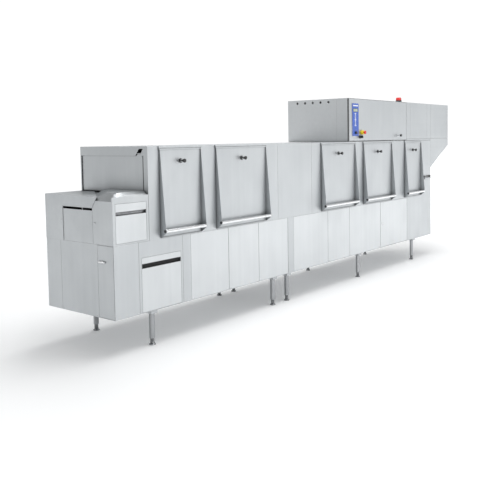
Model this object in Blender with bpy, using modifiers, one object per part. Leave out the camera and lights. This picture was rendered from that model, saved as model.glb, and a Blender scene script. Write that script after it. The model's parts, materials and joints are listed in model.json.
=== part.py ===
"""Rack conveyor dishwasher: a wash tunnel on two base modules, with lift-up access doors,
a control cabinet on the roof and an exhaust hood over the unloading end.

Machine coordinates: s runs along the transport from the loading end, w runs from the
front face to the rear, z runs up from the floor. All in metres.
"""
import math

import bmesh
import bpy
from mathutils import Matrix, Vector

# ---------------------------------------------------------------- driving dimensions
DEPTH = 0.80                 # front face to rear wall
BASE_BOTTOM = 0.275          # height of the legs
BASE_TOP = 0.805             # joint between the base and the tunnel
INFEED_TOP = 1.148           # top of the loading box
TUNNEL_TOP = 1.50
CABINET_TOP = 1.965
LOADING_END = 0.331          # where the tunnel starts
BASE_SEAM = 2.030            # where the two base modules meet
TUNNEL_SEAM = BASE_SEAM - 0.145
TUNNEL_END = 5.125
BASE_END = 5.130
CABINET_START = 3.120
CABINET_END = 4.450
HOOD_END = 5.665
HOOD_LOW = 1.146             # foot of the sloping edge of the exhaust hood
HOOD_LIP = 1.434             # lower edge of its end plate
SHEET = 0.0025               # sheet metal of shells and cabinets
FRAME_WALL = 0.003           # sheet metal of the base frames
PANEL = 0.002                # sheet metal of panels, trays and doors
GAP = 0.0005                 # clearance between pieces that lie against each other
FIT = 0.0003                 # smallest clearance

LEG_STATIONS = (0.387, BASE_SEAM - 0.170, BASE_SEAM + 0.046, 3.387, BASE_END - 0.432)
LEG_RADIUS = 0.0215
LEG_INSET = 0.062
DOOR_SPANS = ((LOADING_END + 0.111, 0.877), (1.055, TUNNEL_SEAM - 0.181), (2.592, 3.235),
              (3.415, 4.058), (4.395, TUNNEL_END - 0.297))
DOOR_BOTTOM = BASE_TOP + 0.003
DOOR_TOP = TUNNEL_TOP - 0.018
DOOR_PIVOT_W = -0.0066
DOOR_PIVOT_Z = TUNNEL_TOP - 0.022
HANDLE_RADIUS = 0.015
HANDLE_W = -0.035 - HANDLE_RADIUS    # leaves a finger gap behind the tube
HANDLE_Z = BASE_TOP + 0.042 + HANDLE_RADIUS
KNOB_Z = TUNNEL_TOP - 0.115
SEAM = 0.003                 # gap between two front panels
LOADING_SEAMS = (0.7520, 1.1960, 1.5950, BASE_SEAM - 0.0050)
MAIN_SEAMS = (BASE_SEAM + 0.0870, 2.7060, 3.1250, 3.7955, 4.4565)
END_DOOR_SPAN = (0.0060, 0.1795)
LATCH_PROUD = 0.0125         # how far the end latch stands out of the end face
RAIL_TOP = INFEED_TOP - 0.028
HEADER_BOTTOM = TUNNEL_TOP - 0.070
FLAP_PIVOT_Z = TUNNEL_TOP - 0.053
FLAP_BOTTOM = RAIL_TOP + 0.034
FLAP_S = LOADING_END + 0.009
DECK_EDGE_Z = INFEED_TOP - 0.030

FRONT_PROUD = HANDLE_RADIUS - HANDLE_W
S_MID = (HOOD_END - LATCH_PROUD) / 2
W_MID = (DEPTH - FRONT_PROUD) / 2


def spans(seams):
    """The panels between neighbouring seams."""
    return [(a + SEAM / 2, b - SEAM / 2) for a, b in zip(seams, seams[1:])]


PANEL_SPANS = spans(LOADING_SEAMS) + spans(MAIN_SEAMS[:-1])
BASE_DOOR_SPAN = (MAIN_SEAMS[-2] + SEAM, MAIN_SEAMS[-1] - 0.002)


def place(point):
    """A point in machine coordinates, in the part's own frame."""
    return Vector((point[0] - S_MID, point[1] - W_MID, point[2]))


# ---------------------------------------------------------------- scene
for old in list(bpy.data.objects):
    bpy.data.objects.remove(old, do_unlink=True)

scene = bpy.context.scene
PARTS = bpy.data.collections.new("conveyor_dishwasher")
CUTTERS = bpy.data.collections.new("cutters")
scene.collection.children.link(PARTS)
scene.collection.children.link(CUTTERS)


def material(name, colour, roughness, metallic):
    made = bpy.data.materials.new(name)
    made.use_nodes = True
    shader = made.node_tree.nodes["Principled BSDF"]
    shader.inputs["Base Color"].default_value = (*colour, 1.0)
    shader.inputs["Roughness"].default_value = roughness
    shader.inputs["Metallic"].default_value = metallic
    return made


LOOKS = {
    "steel": ((0.62, 0.64, 0.65), 0.38, 1.0),
    "bright": ((0.80, 0.81, 0.82), 0.18, 1.0),
    "black": ((0.015, 0.015, 0.016), 0.45, 0.0),
    "blue": ((0.035, 0.10, 0.42), 0.40, 0.0),
    "yellow": ((0.85, 0.66, 0.03), 0.45, 0.0),
    "red": ((0.70, 0.02, 0.02), 0.35, 0.0),
    "motor": ((0.22, 0.24, 0.26), 0.50, 0.0),
}


def dress(obj, look):
    colour, roughness, metallic = LOOKS[look]
    obj.data.materials.clear()
    obj.data.materials.append(material(obj.name + "_" + look, colour, roughness, metallic))


# ---------------------------------------------------------------- modelling helpers
helper_count = 0


def add_object(name, mesh, origin, look):
    """look None makes a cutter or a piece to be joined, which is left out of the part."""
    global helper_count
    if look is None:
        helper_count += 1
        name = "tool_%03d" % helper_count
    obj = bpy.data.objects.new(name, mesh)
    obj.location = place(origin)
    if look is None:
        CUTTERS.objects.link(obj)
        obj.hide_render = True
        obj.display_type = "WIRE"
    else:
        PARTS.objects.link(obj)
        dress(obj, look)
    return obj


def mesh_from(bm, name, origin):
    bmesh.ops.translate(bm, verts=bm.verts, vec=-Vector(origin))
    mesh = bpy.data.meshes.new(name)
    bm.to_mesh(mesh)
    bm.free()
    return mesh


def box(s, w, z, look=None, name="tool", origin=None):
    """A block between two values along each of s, w and z."""
    bm = bmesh.new()
    bmesh.ops.create_cube(bm, size=1.0)
    size = Vector((s[1] - s[0], w[1] - w[0], z[1] - z[0]))
    centre = Vector(((s[0] + s[1]) / 2, (w[0] + w[1]) / 2, (z[0] + z[1]) / 2))
    bmesh.ops.scale(bm, verts=bm.verts, vec=size)
    bmesh.ops.translate(bm, verts=bm.verts, vec=centre)
    origin = origin or tuple(centre)
    return add_object(name, mesh_from(bm, name, origin), origin, look)


AXES = {
    "s": Matrix.Rotation(math.radians(90), 3, "Y"),
    "w": Matrix.Rotation(math.radians(-90), 3, "X"),
    "z": Matrix.Identity(3),
}


def rod(axis, centre, radius, span, look=None, name="tool", segments=24, origin=None):
    """A cylinder along one axis; centre gives the other two coordinates."""
    bm = bmesh.new()
    length = span[1] - span[0]
    bmesh.ops.create_cone(bm, cap_ends=True, segments=segments, radius1=radius,
                          radius2=radius, depth=length)
    bmesh.ops.transform(bm, matrix=AXES[axis].to_4x4(), verts=bm.verts)
    middle = (span[0] + span[1]) / 2
    if axis == "s":
        point = Vector((middle, centre[0], centre[1]))
    elif axis == "w":
        point = Vector((centre[0], middle, centre[1]))
    else:
        point = Vector((centre[0], centre[1], middle))
    bmesh.ops.translate(bm, verts=bm.verts, vec=point)
    origin = origin or tuple(point)
    obj = add_object(name, mesh_from(bm, name, origin), origin, look)
    obj.data.shade_smooth()
    obj.data.set_sharp_from_angle(angle=math.radians(35))
    return obj


TURN = {
    "-w": Matrix.Rotation(math.radians(90), 4, "X"),
    "-s": Matrix.Rotation(math.radians(-90), 4, "Y"),
    "z": Matrix.Identity(4),
}


def turned(profile, origin, direction, look=None, name="tool", steps=24):
    """A profile of (radius, height) from the top down, spun about the direction."""
    bm = bmesh.new()
    verts = [bm.verts.new((radius, 0.0, height)) for radius, height in profile]
    for first, second in zip(verts, verts[1:]):
        bm.edges.new((first, second))
    mesh = bpy.data.meshes.new(name)
    bm.to_mesh(mesh)
    bm.free()
    obj = add_object(name, mesh, origin, look)
    obj.matrix_basis = Matrix.Translation(place(origin)) @ TURN[direction]
    screw = obj.modifiers.new("turn", "SCREW")
    screw.axis = "Z"
    screw.steps = steps
    screw.render_steps = steps
    screw.use_merge_vertices = True
    screw.merge_threshold = 0.00005
    screw.use_smooth_shade = True
    return obj


def plate(points, plane, span, look=None, name="tool", origin=None):
    """A flat outline with a thickness: plane 'sz' is thick along w, 'wz' along s, 'sw' along z."""
    curve = bpy.data.curves.new(name, "CURVE")
    curve.dimensions = "2D"
    curve.fill_mode = "BOTH"
    curve.extrude = (span[1] - span[0]) / 2
    spline = curve.splines.new("POLY")
    spline.points.add(len(points) - 1)
    for index, (u, v) in enumerate(points):
        spline.points[index].co = (u, v, 0.0, 1.0)
    spline.use_cyclic_u = True
    flat = bpy.data.objects.new(name + "_outline", curve)
    scene.collection.objects.link(flat)
    depsgraph = bpy.context.evaluated_depsgraph_get()
    mesh = bpy.data.meshes.new_from_object(flat.evaluated_get(depsgraph))
    bpy.data.objects.remove(flat, do_unlink=True)
    middle = (span[0] + span[1]) / 2
    bm = bmesh.new()
    bm.from_mesh(mesh)
    bmesh.ops.remove_doubles(bm, verts=bm.verts, dist=0.00001)
    for vert in bm.verts:
        u, v, t = vert.co
        if plane == "sz":
            vert.co = Vector((u, middle + t, v))
        elif plane == "wz":
            vert.co = Vector((middle + t, u, v))
        else:
            vert.co = Vector((u, v, middle + t))
    bmesh.ops.recalc_face_normals(bm, faces=bm.faces)
    if bm.calc_volume(signed=True) < 0:
        bmesh.ops.reverse_faces(bm, faces=bm.faces)
    bpy.data.meshes.remove(mesh)
    origin = origin or tuple(sum((v.co for v in bm.verts), Vector()) / len(bm.verts))
    return add_object(name, mesh_from(bm, name, origin), origin, look)


def boolean(target, operation, tools):
    for tool in tools:
        step = target.modifiers.new(operation.lower(), "BOOLEAN")
        step.operation = operation
        step.solver = "EXACT"
        step.object = tool
    return target


def join(target, *tools):
    return boolean(target, "UNION", tools)


def cut(target, *tools):
    return boolean(target, "DIFFERENCE", tools)


def tray(name, s, w, z, open_side, look="steel", origin=None):
    """A folded sheet panel: a box of sheet metal with one side open."""
    shell = box(s, w, z, look, name, origin)
    inner_s = [s[0] + PANEL, s[1] - PANEL]
    inner_w = [w[0] + PANEL, w[1] - PANEL]
    inner_z = (z[0] + PANEL, z[1] - PANEL)
    if open_side == "w":
        inner_w[1] = w[1] + 0.001
    else:
        inner_s[1] = s[1] + 0.001
    cut(shell, box(inner_s, inner_w, inner_z))
    return shell


# ---------------------------------------------------------------- legs
RAIL_DEPTH = 0.030           # cross rails between the base and the legs
RAIL_WIDTH = 0.066


def leg_set(index, station):
    """A cross rail, open below, with a leg and its foot near each end."""
    name = "leg_set_%d" % index
    rail_top = BASE_BOTTOM - FIT
    rail_bottom = BASE_BOTTOM - RAIL_DEPTH
    near = LEG_INSET
    far = DEPTH - LEG_INSET
    half = RAIL_WIDTH / 2
    ends = (near - half, far + half)
    carrier = box((station - half, station + half), ends, (rail_bottom, rail_top), "steel", name)
    cut(carrier, box((station - half + SHEET, station + half - SHEET), (ends[0] + SHEET, ends[1] - SHEET),
                     (rail_bottom - 0.01, rail_top - SHEET)))
    profile = ((0.0, rail_top - 0.001), (LEG_RADIUS, rail_top - 0.001), (LEG_RADIUS, 0.052),
               (LEG_RADIUS - 0.005, 0.050), (LEG_RADIUS - 0.005, 0.014), (LEG_RADIUS + 0.0045, 0.010),
               (LEG_RADIUS + 0.0045, 0.0), (0.0, 0.0))
    for w in (near, far):
        join(carrier, turned(profile, (station, w, 0.0), "z", steps=14))
    return carrier


for number, station in enumerate(LEG_STATIONS, start=1):
    leg_set(number, station)


# ---------------------------------------------------------------- base frames
def base_frame(name, s0, s1, openings):
    frame = box((s0, s1), (0.0, DEPTH), (BASE_BOTTOM, BASE_TOP), "steel", name)
    t = FRAME_WALL
    cut(frame,
        box((s0 + t, s1 - t), (t, DEPTH - t), (BASE_BOTTOM + t, BASE_TOP - t)),
        box((s0 + 0.033, s1 - 0.033), (0.033, DEPTH - 0.033), (BASE_TOP - 0.01, BASE_TOP + 0.01)))
    for s, z in openings:
        cut(frame, box(s, (-0.01, 0.01), z))
    return frame


OPEN_BOTTOM = BASE_BOTTOM + FRAME_WALL
OPEN_TOP = BASE_TOP - FRAME_WALL
DRAWER_SPAN = (0.248, 0.645)
DRAWER_TOP = BASE_TOP - 0.118
PANEL_OPENING = (LOADING_SEAMS[0], LOADING_SEAMS[-1] + GAP)
loading_frame = base_frame(
    "loading_base_frame", 0.0, BASE_SEAM - 0.0015,
    ((DRAWER_SPAN, (OPEN_BOTTOM + 0.001, DRAWER_TOP)), (PANEL_OPENING, (OPEN_BOTTOM, OPEN_TOP))))
cut(loading_frame,
    box((-0.01, 0.01), (FRAME_WALL, END_DOOR_SPAN[1] + 0.0020), (OPEN_BOTTOM, OPEN_TOP)),
    box((-0.01, 0.0015), (DEPTH - 0.181, DEPTH - 0.179), (OPEN_BOTTOM, OPEN_TOP)))
for seam in (DRAWER_SPAN[0] - 0.023, DRAWER_SPAN[1] + 0.020):
    cut(loading_frame, box((seam - 0.001, seam + 0.001), (-0.01, 0.0015), (OPEN_BOTTOM, OPEN_TOP)))

main_frame = base_frame(
    "main_base_frame", BASE_SEAM, BASE_END,
    (((MAIN_SEAMS[0], MAIN_SEAMS[-1] + 0.0015), (OPEN_BOTTOM, OPEN_TOP)),))


# ---------------------------------------------------------------- base panels
for number, span in enumerate(PANEL_SPANS, start=1):
    tray("base_panel_%d" % number, span, (0.0, 0.018), (OPEN_BOTTOM + FIT, OPEN_TOP - FIT), "w")


# ---------------------------------------------------------------- strainer drawers
def strainer_drawer(name, span, z, slot, basket_depth, basket_z):
    """A drawer front with a finger slot folded inwards, and a deep tray behind it."""
    front = tray(name, span, (0.0, 0.020), z, "w")
    inner = (span[0] + 0.002, span[1] - 0.002)
    channel = box((inner[0] - 0.001, inner[1] + 0.001), (0.001, 0.020), (slot[0] - PANEL, slot[1] + PANEL))
    join(front, channel)
    cut(front, box((inner[0] + 0.001, inner[1] - 0.001), (-0.01, 0.018), slot))
    side = (span[0] + 0.020, span[1] - 0.020)
    join(front,
         box(side, (0.0005, 0.022), (basket_z[0], basket_z[1])),
         box(side, (0.020, basket_depth), basket_z))
    cut(front,
        box((side[0] + PANEL, side[1] - PANEL), (0.024, basket_depth - PANEL),
            (basket_z[0] + PANEL, basket_z[1] + 0.01)))
    return front


HATCH_SPAN = (0.023, LOADING_END - 0.023)
HATCH_Z = (BASE_TOP + 0.010, INFEED_TOP - 0.048)
strainer_drawer("strainer_drawer", (DRAWER_SPAN[0] + 0.0015, DRAWER_SPAN[1] - 0.0015),
                (OPEN_BOTTOM + 0.0025, DRAWER_TOP - 0.0015), (DRAWER_TOP - 0.081, DRAWER_TOP - 0.047),
                0.42, (DRAWER_TOP - 0.257, DRAWER_TOP - 0.107))
strainer_drawer("infeed_strainer", (HATCH_SPAN[0] + 0.0015, HATCH_SPAN[1] - 0.0015),
                (HATCH_Z[0] + 0.0015, HATCH_Z[1] - 0.0015), (HATCH_Z[1] - 0.085, HATCH_Z[1] - 0.059),
                0.34, (HATCH_Z[0] + 0.045, HATCH_Z[1] - 0.115))


# ---------------------------------------------------------------- hinged doors of the base
BASE_HINGE = (BASE_DOOR_SPAN[1] - 0.0045, 0.004)
DOOR_Z = (OPEN_BOTTOM + 0.002, OPEN_TOP - 0.002)
PIN = 0.003
HOLE = PIN + 0.0005
LOCK_S = BASE_DOOR_SPAN[0] + 0.0365
LOCK_Z = BASE_BOTTOM + 0.275


def hinge_pins(door, frame, s, w, z_low, z_high, plate_low, plate_high):
    """Two vertical pins on a door, in holes through the plates below and above it."""
    join(door,
         rod("z", (s, w), PIN, (plate_low - 0.0018, z_low + 0.001), segments=10),
         rod("z", (s, w), PIN, (z_high - 0.001, plate_high + 0.0018), segments=10))
    cut(frame,
        rod("z", (s, w), HOLE, (plate_low - 0.01, plate_low + 0.005), segments=10),
        rod("z", (s, w), HOLE, (plate_high - 0.005, plate_high + 0.01), segments=10))


base_door = tray("base_door", BASE_DOOR_SPAN, (0.0, 0.018), DOOR_Z, "w",
                 origin=(*BASE_HINGE, DOOR_Z[0]))
hinge_pins(base_door, main_frame, *BASE_HINGE, *DOOR_Z, OPEN_BOTTOM, OPEN_TOP)
cut(base_door, rod("w", (LOCK_S, LOCK_Z), 0.0117, (-0.01, 0.01), segments=16))

lock = rod("w", (LOCK_S, LOCK_Z), 0.011, (-0.004, 0.022), "bright", "base_door_lock", segments=16,
           origin=(LOCK_S, 0.0, LOCK_Z))
join(lock, box((LOCK_S - 0.008, LOCK_S + 0.008), (0.0188, 0.0218), (LOCK_Z - 0.052, LOCK_Z + 0.008)))
cut(lock, box((LOCK_S - 0.0012, LOCK_S + 0.0012), (-0.01, -0.002), (LOCK_Z - 0.007, LOCK_Z + 0.007)))

END_HINGE = (0.004, END_DOOR_SPAN[0] + 0.002)
end_door = tray("end_door", (0.0, 0.018), END_DOOR_SPAN, DOOR_Z, "s", origin=(*END_HINGE, DOOR_Z[0]))
hinge_pins(end_door, loading_frame, *END_HINGE, *DOOR_Z, OPEN_BOTTOM, OPEN_TOP)

LATCH_W = END_DOOR_SPAN[1] - 0.0505
LATCH_Z = BASE_TOP - 0.125
cut(end_door, rod("s", (LATCH_W, LATCH_Z), 0.0046, (-0.01, 0.01), segments=12))
STRIKER_W = END_DOOR_SPAN[1] + 0.0022
join(loading_frame,
     box((0.0010, 0.0180), (STRIKER_W, STRIKER_W + PANEL), (LATCH_Z - 0.03, LATCH_Z + 0.03)))
latch = turned(((0.0, LATCH_PROUD), (0.006, LATCH_PROUD), (0.008, 0.0105), (0.008, 0.004), (0.011, 0.0035),
                (0.011, GAP), (0.004, GAP), (0.004, -0.0215), (0.0, -0.0215)),
               (0.0, LATCH_W, LATCH_Z), "-s", "bright", "end_door_latch", steps=12)
join(latch,
     box((-0.0105, -0.006), (LATCH_W - 0.036, LATCH_W + 0.036), (LATCH_Z - 0.005, LATCH_Z + 0.005)),
     box((0.0190, 0.0213), (LATCH_W - 0.008, LATCH_W + 0.008), (LATCH_Z - 0.056, LATCH_Z + 0.008)))
for offset in (-0.029, 0.029):
    join(latch, rod("s", (LATCH_W + offset, LATCH_Z), 0.0075, (-0.012, -0.0045), segments=12))


# ---------------------------------------------------------------- tunnel
POST = 0.0463                # width of the corner post of the tunnel front


def tunnel_shell(name, s0, s1, end_plate):
    """Rear wall and roof in one folded sheet, with a frame plate at the open end."""
    bottom = BASE_TOP + FIT
    shell = box((s0, s1), (DEPTH - SHEET, DEPTH), (bottom, TUNNEL_TOP), "steel", name)
    join(shell, box((s0, s1), (SHEET + GAP, DEPTH - 0.001), (TUNNEL_TOP - SHEET, TUNNEL_TOP)))
    join(shell,
         box(end_plate, (POST + GAP, DEPTH - 0.001), (HEADER_BOTTOM, TUNNEL_TOP - 0.001)),
         box(end_plate, (DEPTH - 0.011, DEPTH - 0.001), (bottom, TUNNEL_TOP - 0.001)))
    return shell


loading_shell = tunnel_shell("loading_tunnel_shell", LOADING_END, TUNNEL_SEAM - 0.0008,
                             (LOADING_END, LOADING_END + SHEET))
cut(loading_shell, plate(((0.050, HEADER_BOTTOM + 0.052), (0.094, HEADER_BOTTOM + 0.052),
                          (0.138, HEADER_BOTTOM - 0.005), (0.088, HEADER_BOTTOM - 0.005)), "wz",
                         (LOADING_END - 0.01, LOADING_END + 0.01)))
for lug in ((0.0475, 0.0515), (DEPTH - 0.009, DEPTH - 0.005)):
    join(loading_shell, box((LOADING_END + 0.001, FLAP_S + 0.009), lug,
                            (FLAP_PIVOT_Z - 0.009, TUNNEL_TOP - 0.001)))
cut(loading_shell, rod("w", (FLAP_S, FLAP_PIVOT_Z), 0.005 + FIT, (0.040, DEPTH - 0.0038), segments=12))
tunnel_shell("main_tunnel_shell", TUNNEL_SEAM + 0.0008, TUNNEL_END, (TUNNEL_END - SHEET, TUNNEL_END))


def tunnel_front(name, s0, s1, spans, end_plate):
    """Front sheet with the access openings, and a hinge strip with two lugs over each one."""
    bottom = BASE_TOP + FIT
    front = box((s0, s1), (0.0, SHEET), (bottom, TUNNEL_TOP), "steel", name)
    join(front, box(end_plate, (0.001, POST), (bottom, TUNNEL_TOP - SHEET - GAP)))
    for a, b in spans:
        cut(front, box((a + 0.012, b - 0.012), (-0.01, 0.01), (BASE_TOP + 0.025, TUNNEL_TOP - 0.040)))
        join(front, box((a - 0.0055, b + 0.0055), (-0.008, 0.001), (DOOR_TOP + 0.0025, TUNNEL_TOP)))
        for lug in ((a - 0.0055, a - 0.0015), (b + 0.0015, b + 0.0055)):
            join(front, box(lug, (-0.0115, 0.001), (DOOR_PIVOT_Z - 0.006, DOOR_PIVOT_Z + 0.008)))
        cut(front, rod("s", (DOOR_PIVOT_W, DOOR_PIVOT_Z), HOLE, (a - 0.010, a), segments=10),
            rod("s", (DOOR_PIVOT_W, DOOR_PIVOT_Z), HOLE, (b, b + 0.010), segments=10))
    return front


tunnel_front("loading_tunnel_front", LOADING_END, TUNNEL_SEAM - 0.0008, DOOR_SPANS[:2],
             (LOADING_END, LOADING_END + SHEET))
main_front = tunnel_front("main_tunnel_front", TUNNEL_SEAM + 0.0008, TUNNEL_END, DOOR_SPANS[2:],
                          (TUNNEL_END - SHEET, TUNNEL_END))
EXIT_PIVOT = (TUNNEL_END - 0.220, RAIL_TOP - 0.081)
join(main_front, box((EXIT_PIVOT[0] + 0.035, TUNNEL_END - 0.0025), (-0.012, 0.001),
                     (EXIT_PIVOT[1] - 0.033, EXIT_PIVOT[1] - 0.019)))
cut(main_front, box((2.424, 2.426), (-0.01, 0.001), (BASE_TOP + 0.005, TUNNEL_TOP - 0.005)))

cut(main_front, rod("w", EXIT_PIVOT, 0.0043, (-0.01, 0.01), segments=16))
exit_lever = turned(((0.0, 0.021), (0.010, 0.021), (0.012, 0.019), (0.012, GAP), (0.004, GAP),
                     (0.004, -0.006), (0.009, -0.006), (0.009, -0.009), (0.0, -0.009)),
                    (EXIT_PIVOT[0], 0.0, EXIT_PIVOT[1]), "-w", "black", "exit_lever", steps=10)
join(exit_lever,
     rod("s", (-0.013, EXIT_PIVOT[1]), 0.0045, (EXIT_PIVOT[0], EXIT_PIVOT[0] + 0.157), segments=10),
     rod("s", (-0.013, EXIT_PIVOT[1]), 0.0125, (EXIT_PIVOT[0] + 0.150, EXIT_PIVOT[0] + 0.178), segments=14))

FLAP_SPAN = (0.060, DEPTH - 0.0125)
flap = box((FLAP_S - 0.0015, FLAP_S + 0.0015), FLAP_SPAN, (FLAP_BOTTOM, FLAP_PIVOT_Z), "steel",
           "entrance_flap", origin=(FLAP_S, DEPTH / 2, FLAP_PIVOT_Z))
join(flap, rod("w", (FLAP_S, FLAP_PIVOT_Z), 0.005, (0.0470, DEPTH - 0.0045), segments=12))


# ---------------------------------------------------------------- access doors
def access_door(index, a, b):
    name = "access_door_%d" % index
    centre = (a + b) / 2
    back = -0.0015
    pivot = (centre, DOOR_PIVOT_W, DOOR_PIVOT_Z)
    door = box((a, b), (back - PANEL, back), (DOOR_BOTTOM + 0.004, DOOR_TOP), "steel", name, origin=pivot)
    nose = HANDLE_W - HANDLE_RADIUS + 0.0045
    cheek = ((back, DOOR_TOP), (-0.0110, DOOR_TOP), (nose, HANDLE_Z), (nose + 0.0005, HANDLE_Z - 0.012),
             (nose + 0.0045, HANDLE_Z - 0.0165), (back, DOOR_BOTTOM))
    for span in ((a, a + PANEL), (b - PANEL, b)):
        join(door, plate(cheek, "wz", span))
    between = (a + 0.0005, b - 0.0005)
    join(door,
         box(between, (-0.0105, back - 0.0005), (DOOR_TOP - 0.0100, DOOR_TOP - 0.0003)),
         box(between, (-0.0140, back - 0.0005), (DOOR_BOTTOM + 0.0042, DOOR_BOTTOM + 0.0062)),
         rod("s", (DOOR_PIVOT_W, DOOR_PIVOT_Z), PIN, (a - 0.0045, a + 0.001), segments=10),
         rod("s", (DOOR_PIVOT_W, DOOR_PIVOT_Z), PIN, (b - 0.001, b + 0.0045), segments=10),
         rod("w", (centre, KNOB_Z), 0.0115, (-0.0140, back - 0.0005), segments=12))
    cut(door,
        rod("w", (centre, KNOB_Z), 0.0066, (-0.03, 0.01), segments=12),
        rod("s", (HANDLE_W, HANDLE_Z), 0.0046, (a - 0.01, a + 0.01), segments=10),
        rod("s", (HANDLE_W, HANDLE_Z), 0.0046, (b - 0.01, b + 0.01), segments=10))

    handle = rod("s", (HANDLE_W, HANDLE_Z), HANDLE_RADIUS, (a + PANEL + GAP, b - PANEL - GAP), "bright",
                 "door_handle_%d" % index, segments=16)
    join(handle,
         rod("s", (HANDLE_W, HANDLE_Z), 0.0040, (a - 0.002, b + 0.002), segments=10),
         rod("s", (HANDLE_W, HANDLE_Z), 0.0120, (a - 0.0038, a - GAP), segments=14),
         rod("s", (HANDLE_W, HANDLE_Z), 0.0120, (b + GAP, b + 0.0038), segments=14))

    turned(((0.0, 0.0560), (0.0135, 0.0550), (0.0160, 0.0490), (0.0145, 0.0400), (0.0060, 0.0320),
            (0.0060, -0.0080), (0.0095, -0.0080), (0.0095, -0.0105), (0.0, -0.0105)),
           (centre, 0.0, KNOB_Z), "-w", "black", "door_knob_%d" % index, steps=12)


for number, (first, last) in enumerate(DOOR_SPANS, start=1):
    access_door(number, first, last)


# ---------------------------------------------------------------- loading box
def ease(value):
    value = max(0.0, min(1.0, value))
    return math.sin(value * math.pi / 2)


def deck_height(s, w):
    """A smooth deck: rounded down to the end wall and the front wall, flat below the hood."""
    ahead = (0.120 + 1.409 * s - w) / 0.12
    return DECK_EDGE_Z - 0.0006 + ease(s / 0.09) * ease((w + 0.006) / 0.055) * (0.021 + 0.036 * ease(ahead))


def infeed_deck():
    columns = 10
    rows = 18
    bm = bmesh.new()
    bmesh.ops.create_grid(bm, x_segments=columns, y_segments=rows, size=0.5)
    s0, s1 = 0.001, LOADING_END - 0.003
    w0, w1 = 0.001, DEPTH - 0.001
    for vert in bm.verts:
        along = vert.co.x + 0.5
        across = vert.co.y + 0.5
        s = s0 + (s1 - s0) * along ** 1.6
        w = w0 + (w1 - w0) * across ** 1.3
        vert.co = Vector((s, w, deck_height(s, w)))
    origin = (LOADING_END / 2, DEPTH / 2, INFEED_TOP)
    deck = add_object("tool", mesh_from(bm, "deck", origin), origin, None)
    thicken = deck.modifiers.new("thickness", "SOLIDIFY")
    thicken.thickness = PANEL
    thicken.offset = -1.0
    return deck


BOX_END = LOADING_END - 0.0025
END_SLOT = (0.226, DEPTH - 0.224)
SLOT_TOP = INFEED_TOP - 0.085
bottom = BASE_TOP + FIT
infeed = box((0.0, BOX_END), (0.0, DEPTH), (bottom, INFEED_TOP), "steel", "infeed_box")
cut(infeed,
    box((PANEL, BOX_END + 0.01), (PANEL, DEPTH - PANEL), (bottom - 0.01, INFEED_TOP + 0.01)),
    box((-0.01, 0.01), (0.012, DEPTH + 0.01), (DECK_EDGE_Z, INFEED_TOP + 0.01)),
    box((-0.01, BOX_END + 0.01), (DEPTH - 0.05, DEPTH + 0.01),
        (INFEED_TOP - PANEL - GAP, INFEED_TOP + 0.01)))
join(infeed, infeed_deck())
cut(infeed,
    box(HATCH_SPAN, (-0.01, 0.01), HATCH_Z),
    box((-0.01, 0.01), END_SLOT, (SLOT_TOP - 0.017, SLOT_TOP)))
for seam in END_SLOT:
    cut(infeed, box((-0.01, 0.0010), (seam - 0.001, seam + 0.001), (BASE_TOP + 0.005, SLOT_TOP - 0.017)))

hood = plate(((-PANEL - GAP, 0.165), (BOX_END, 0.630), (BOX_END, DEPTH), (-PANEL - GAP, DEPTH)), "sw",
             (INFEED_TOP - PANEL, INFEED_TOP), "steel", "infeed_hood")
flap_outline = ((0.166, INFEED_TOP - 0.0005), (0.222, SLOT_TOP + 0.013), (0.226, SLOT_TOP + 0.001),
                (END_SLOT[1] + 0.0025, SLOT_TOP + 0.001), (END_SLOT[1] + 0.0025, bottom),
                (DEPTH, bottom), (DEPTH, INFEED_TOP - 0.0005))
join(hood, plate(flap_outline, "wz", (-PANEL - GAP, -GAP)))


# ---------------------------------------------------------------- control cabinet
CABINET_BOTTOM = TUNNEL_TOP + 0.003
cabinet = box((CABINET_START, CABINET_END), (0.0, DEPTH), (CABINET_BOTTOM, CABINET_TOP), "steel",
              "control_cabinet")
cut(cabinet, box((CABINET_START + SHEET, CABINET_END - SHEET), (-0.01, DEPTH - SHEET),
                 (CABINET_BOTTOM + SHEET, CABINET_TOP - SHEET)))
VENTS = 5
VENT_PITCH = 0.103
VENT_RADIUS = 0.0125
for index in range(VENTS):
    centre = (DEPTH / 2 - 0.146 + VENT_PITCH * index, CABINET_TOP - 0.035)
    cut(cabinet, rod("s", centre, VENT_RADIUS, (CABINET_START - 0.01, CABINET_START + 0.01), segments=14))
cut(cabinet, box((CABINET_START - 0.01, CABINET_START + 0.001), (0.150, 0.152),
                 (CABINET_BOTTOM + 0.006, CABINET_TOP - 0.006)))
CAB_LATCH = (CABINET_END - 0.227, CABINET_BOTTOM + 0.062)
CAB_STRIKER_S = (CAB_LATCH[0] - 0.035, CAB_LATCH[0] + 0.035)
MOUNTING_Z = (CABINET_BOTTOM + 0.057, CABINET_TOP - 0.065)
MOUNTING_W = (DEPTH - 0.0975, DEPTH - 0.001)
join(cabinet,
     box(CAB_STRIKER_S, (0.0250, 0.0270), (CABINET_BOTTOM + 0.001, CABINET_BOTTOM + 0.030)),
     box((CABINET_START + 0.18, CABINET_END - 0.15), (DEPTH - 0.100, DEPTH - 0.097), MOUNTING_Z),
     box((CABINET_START + 0.17, CABINET_START + 0.19), MOUNTING_W, MOUNTING_Z),
     box((CABINET_END - 0.16, CABINET_END - 0.14), MOUNTING_W, MOUNTING_Z))

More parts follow.
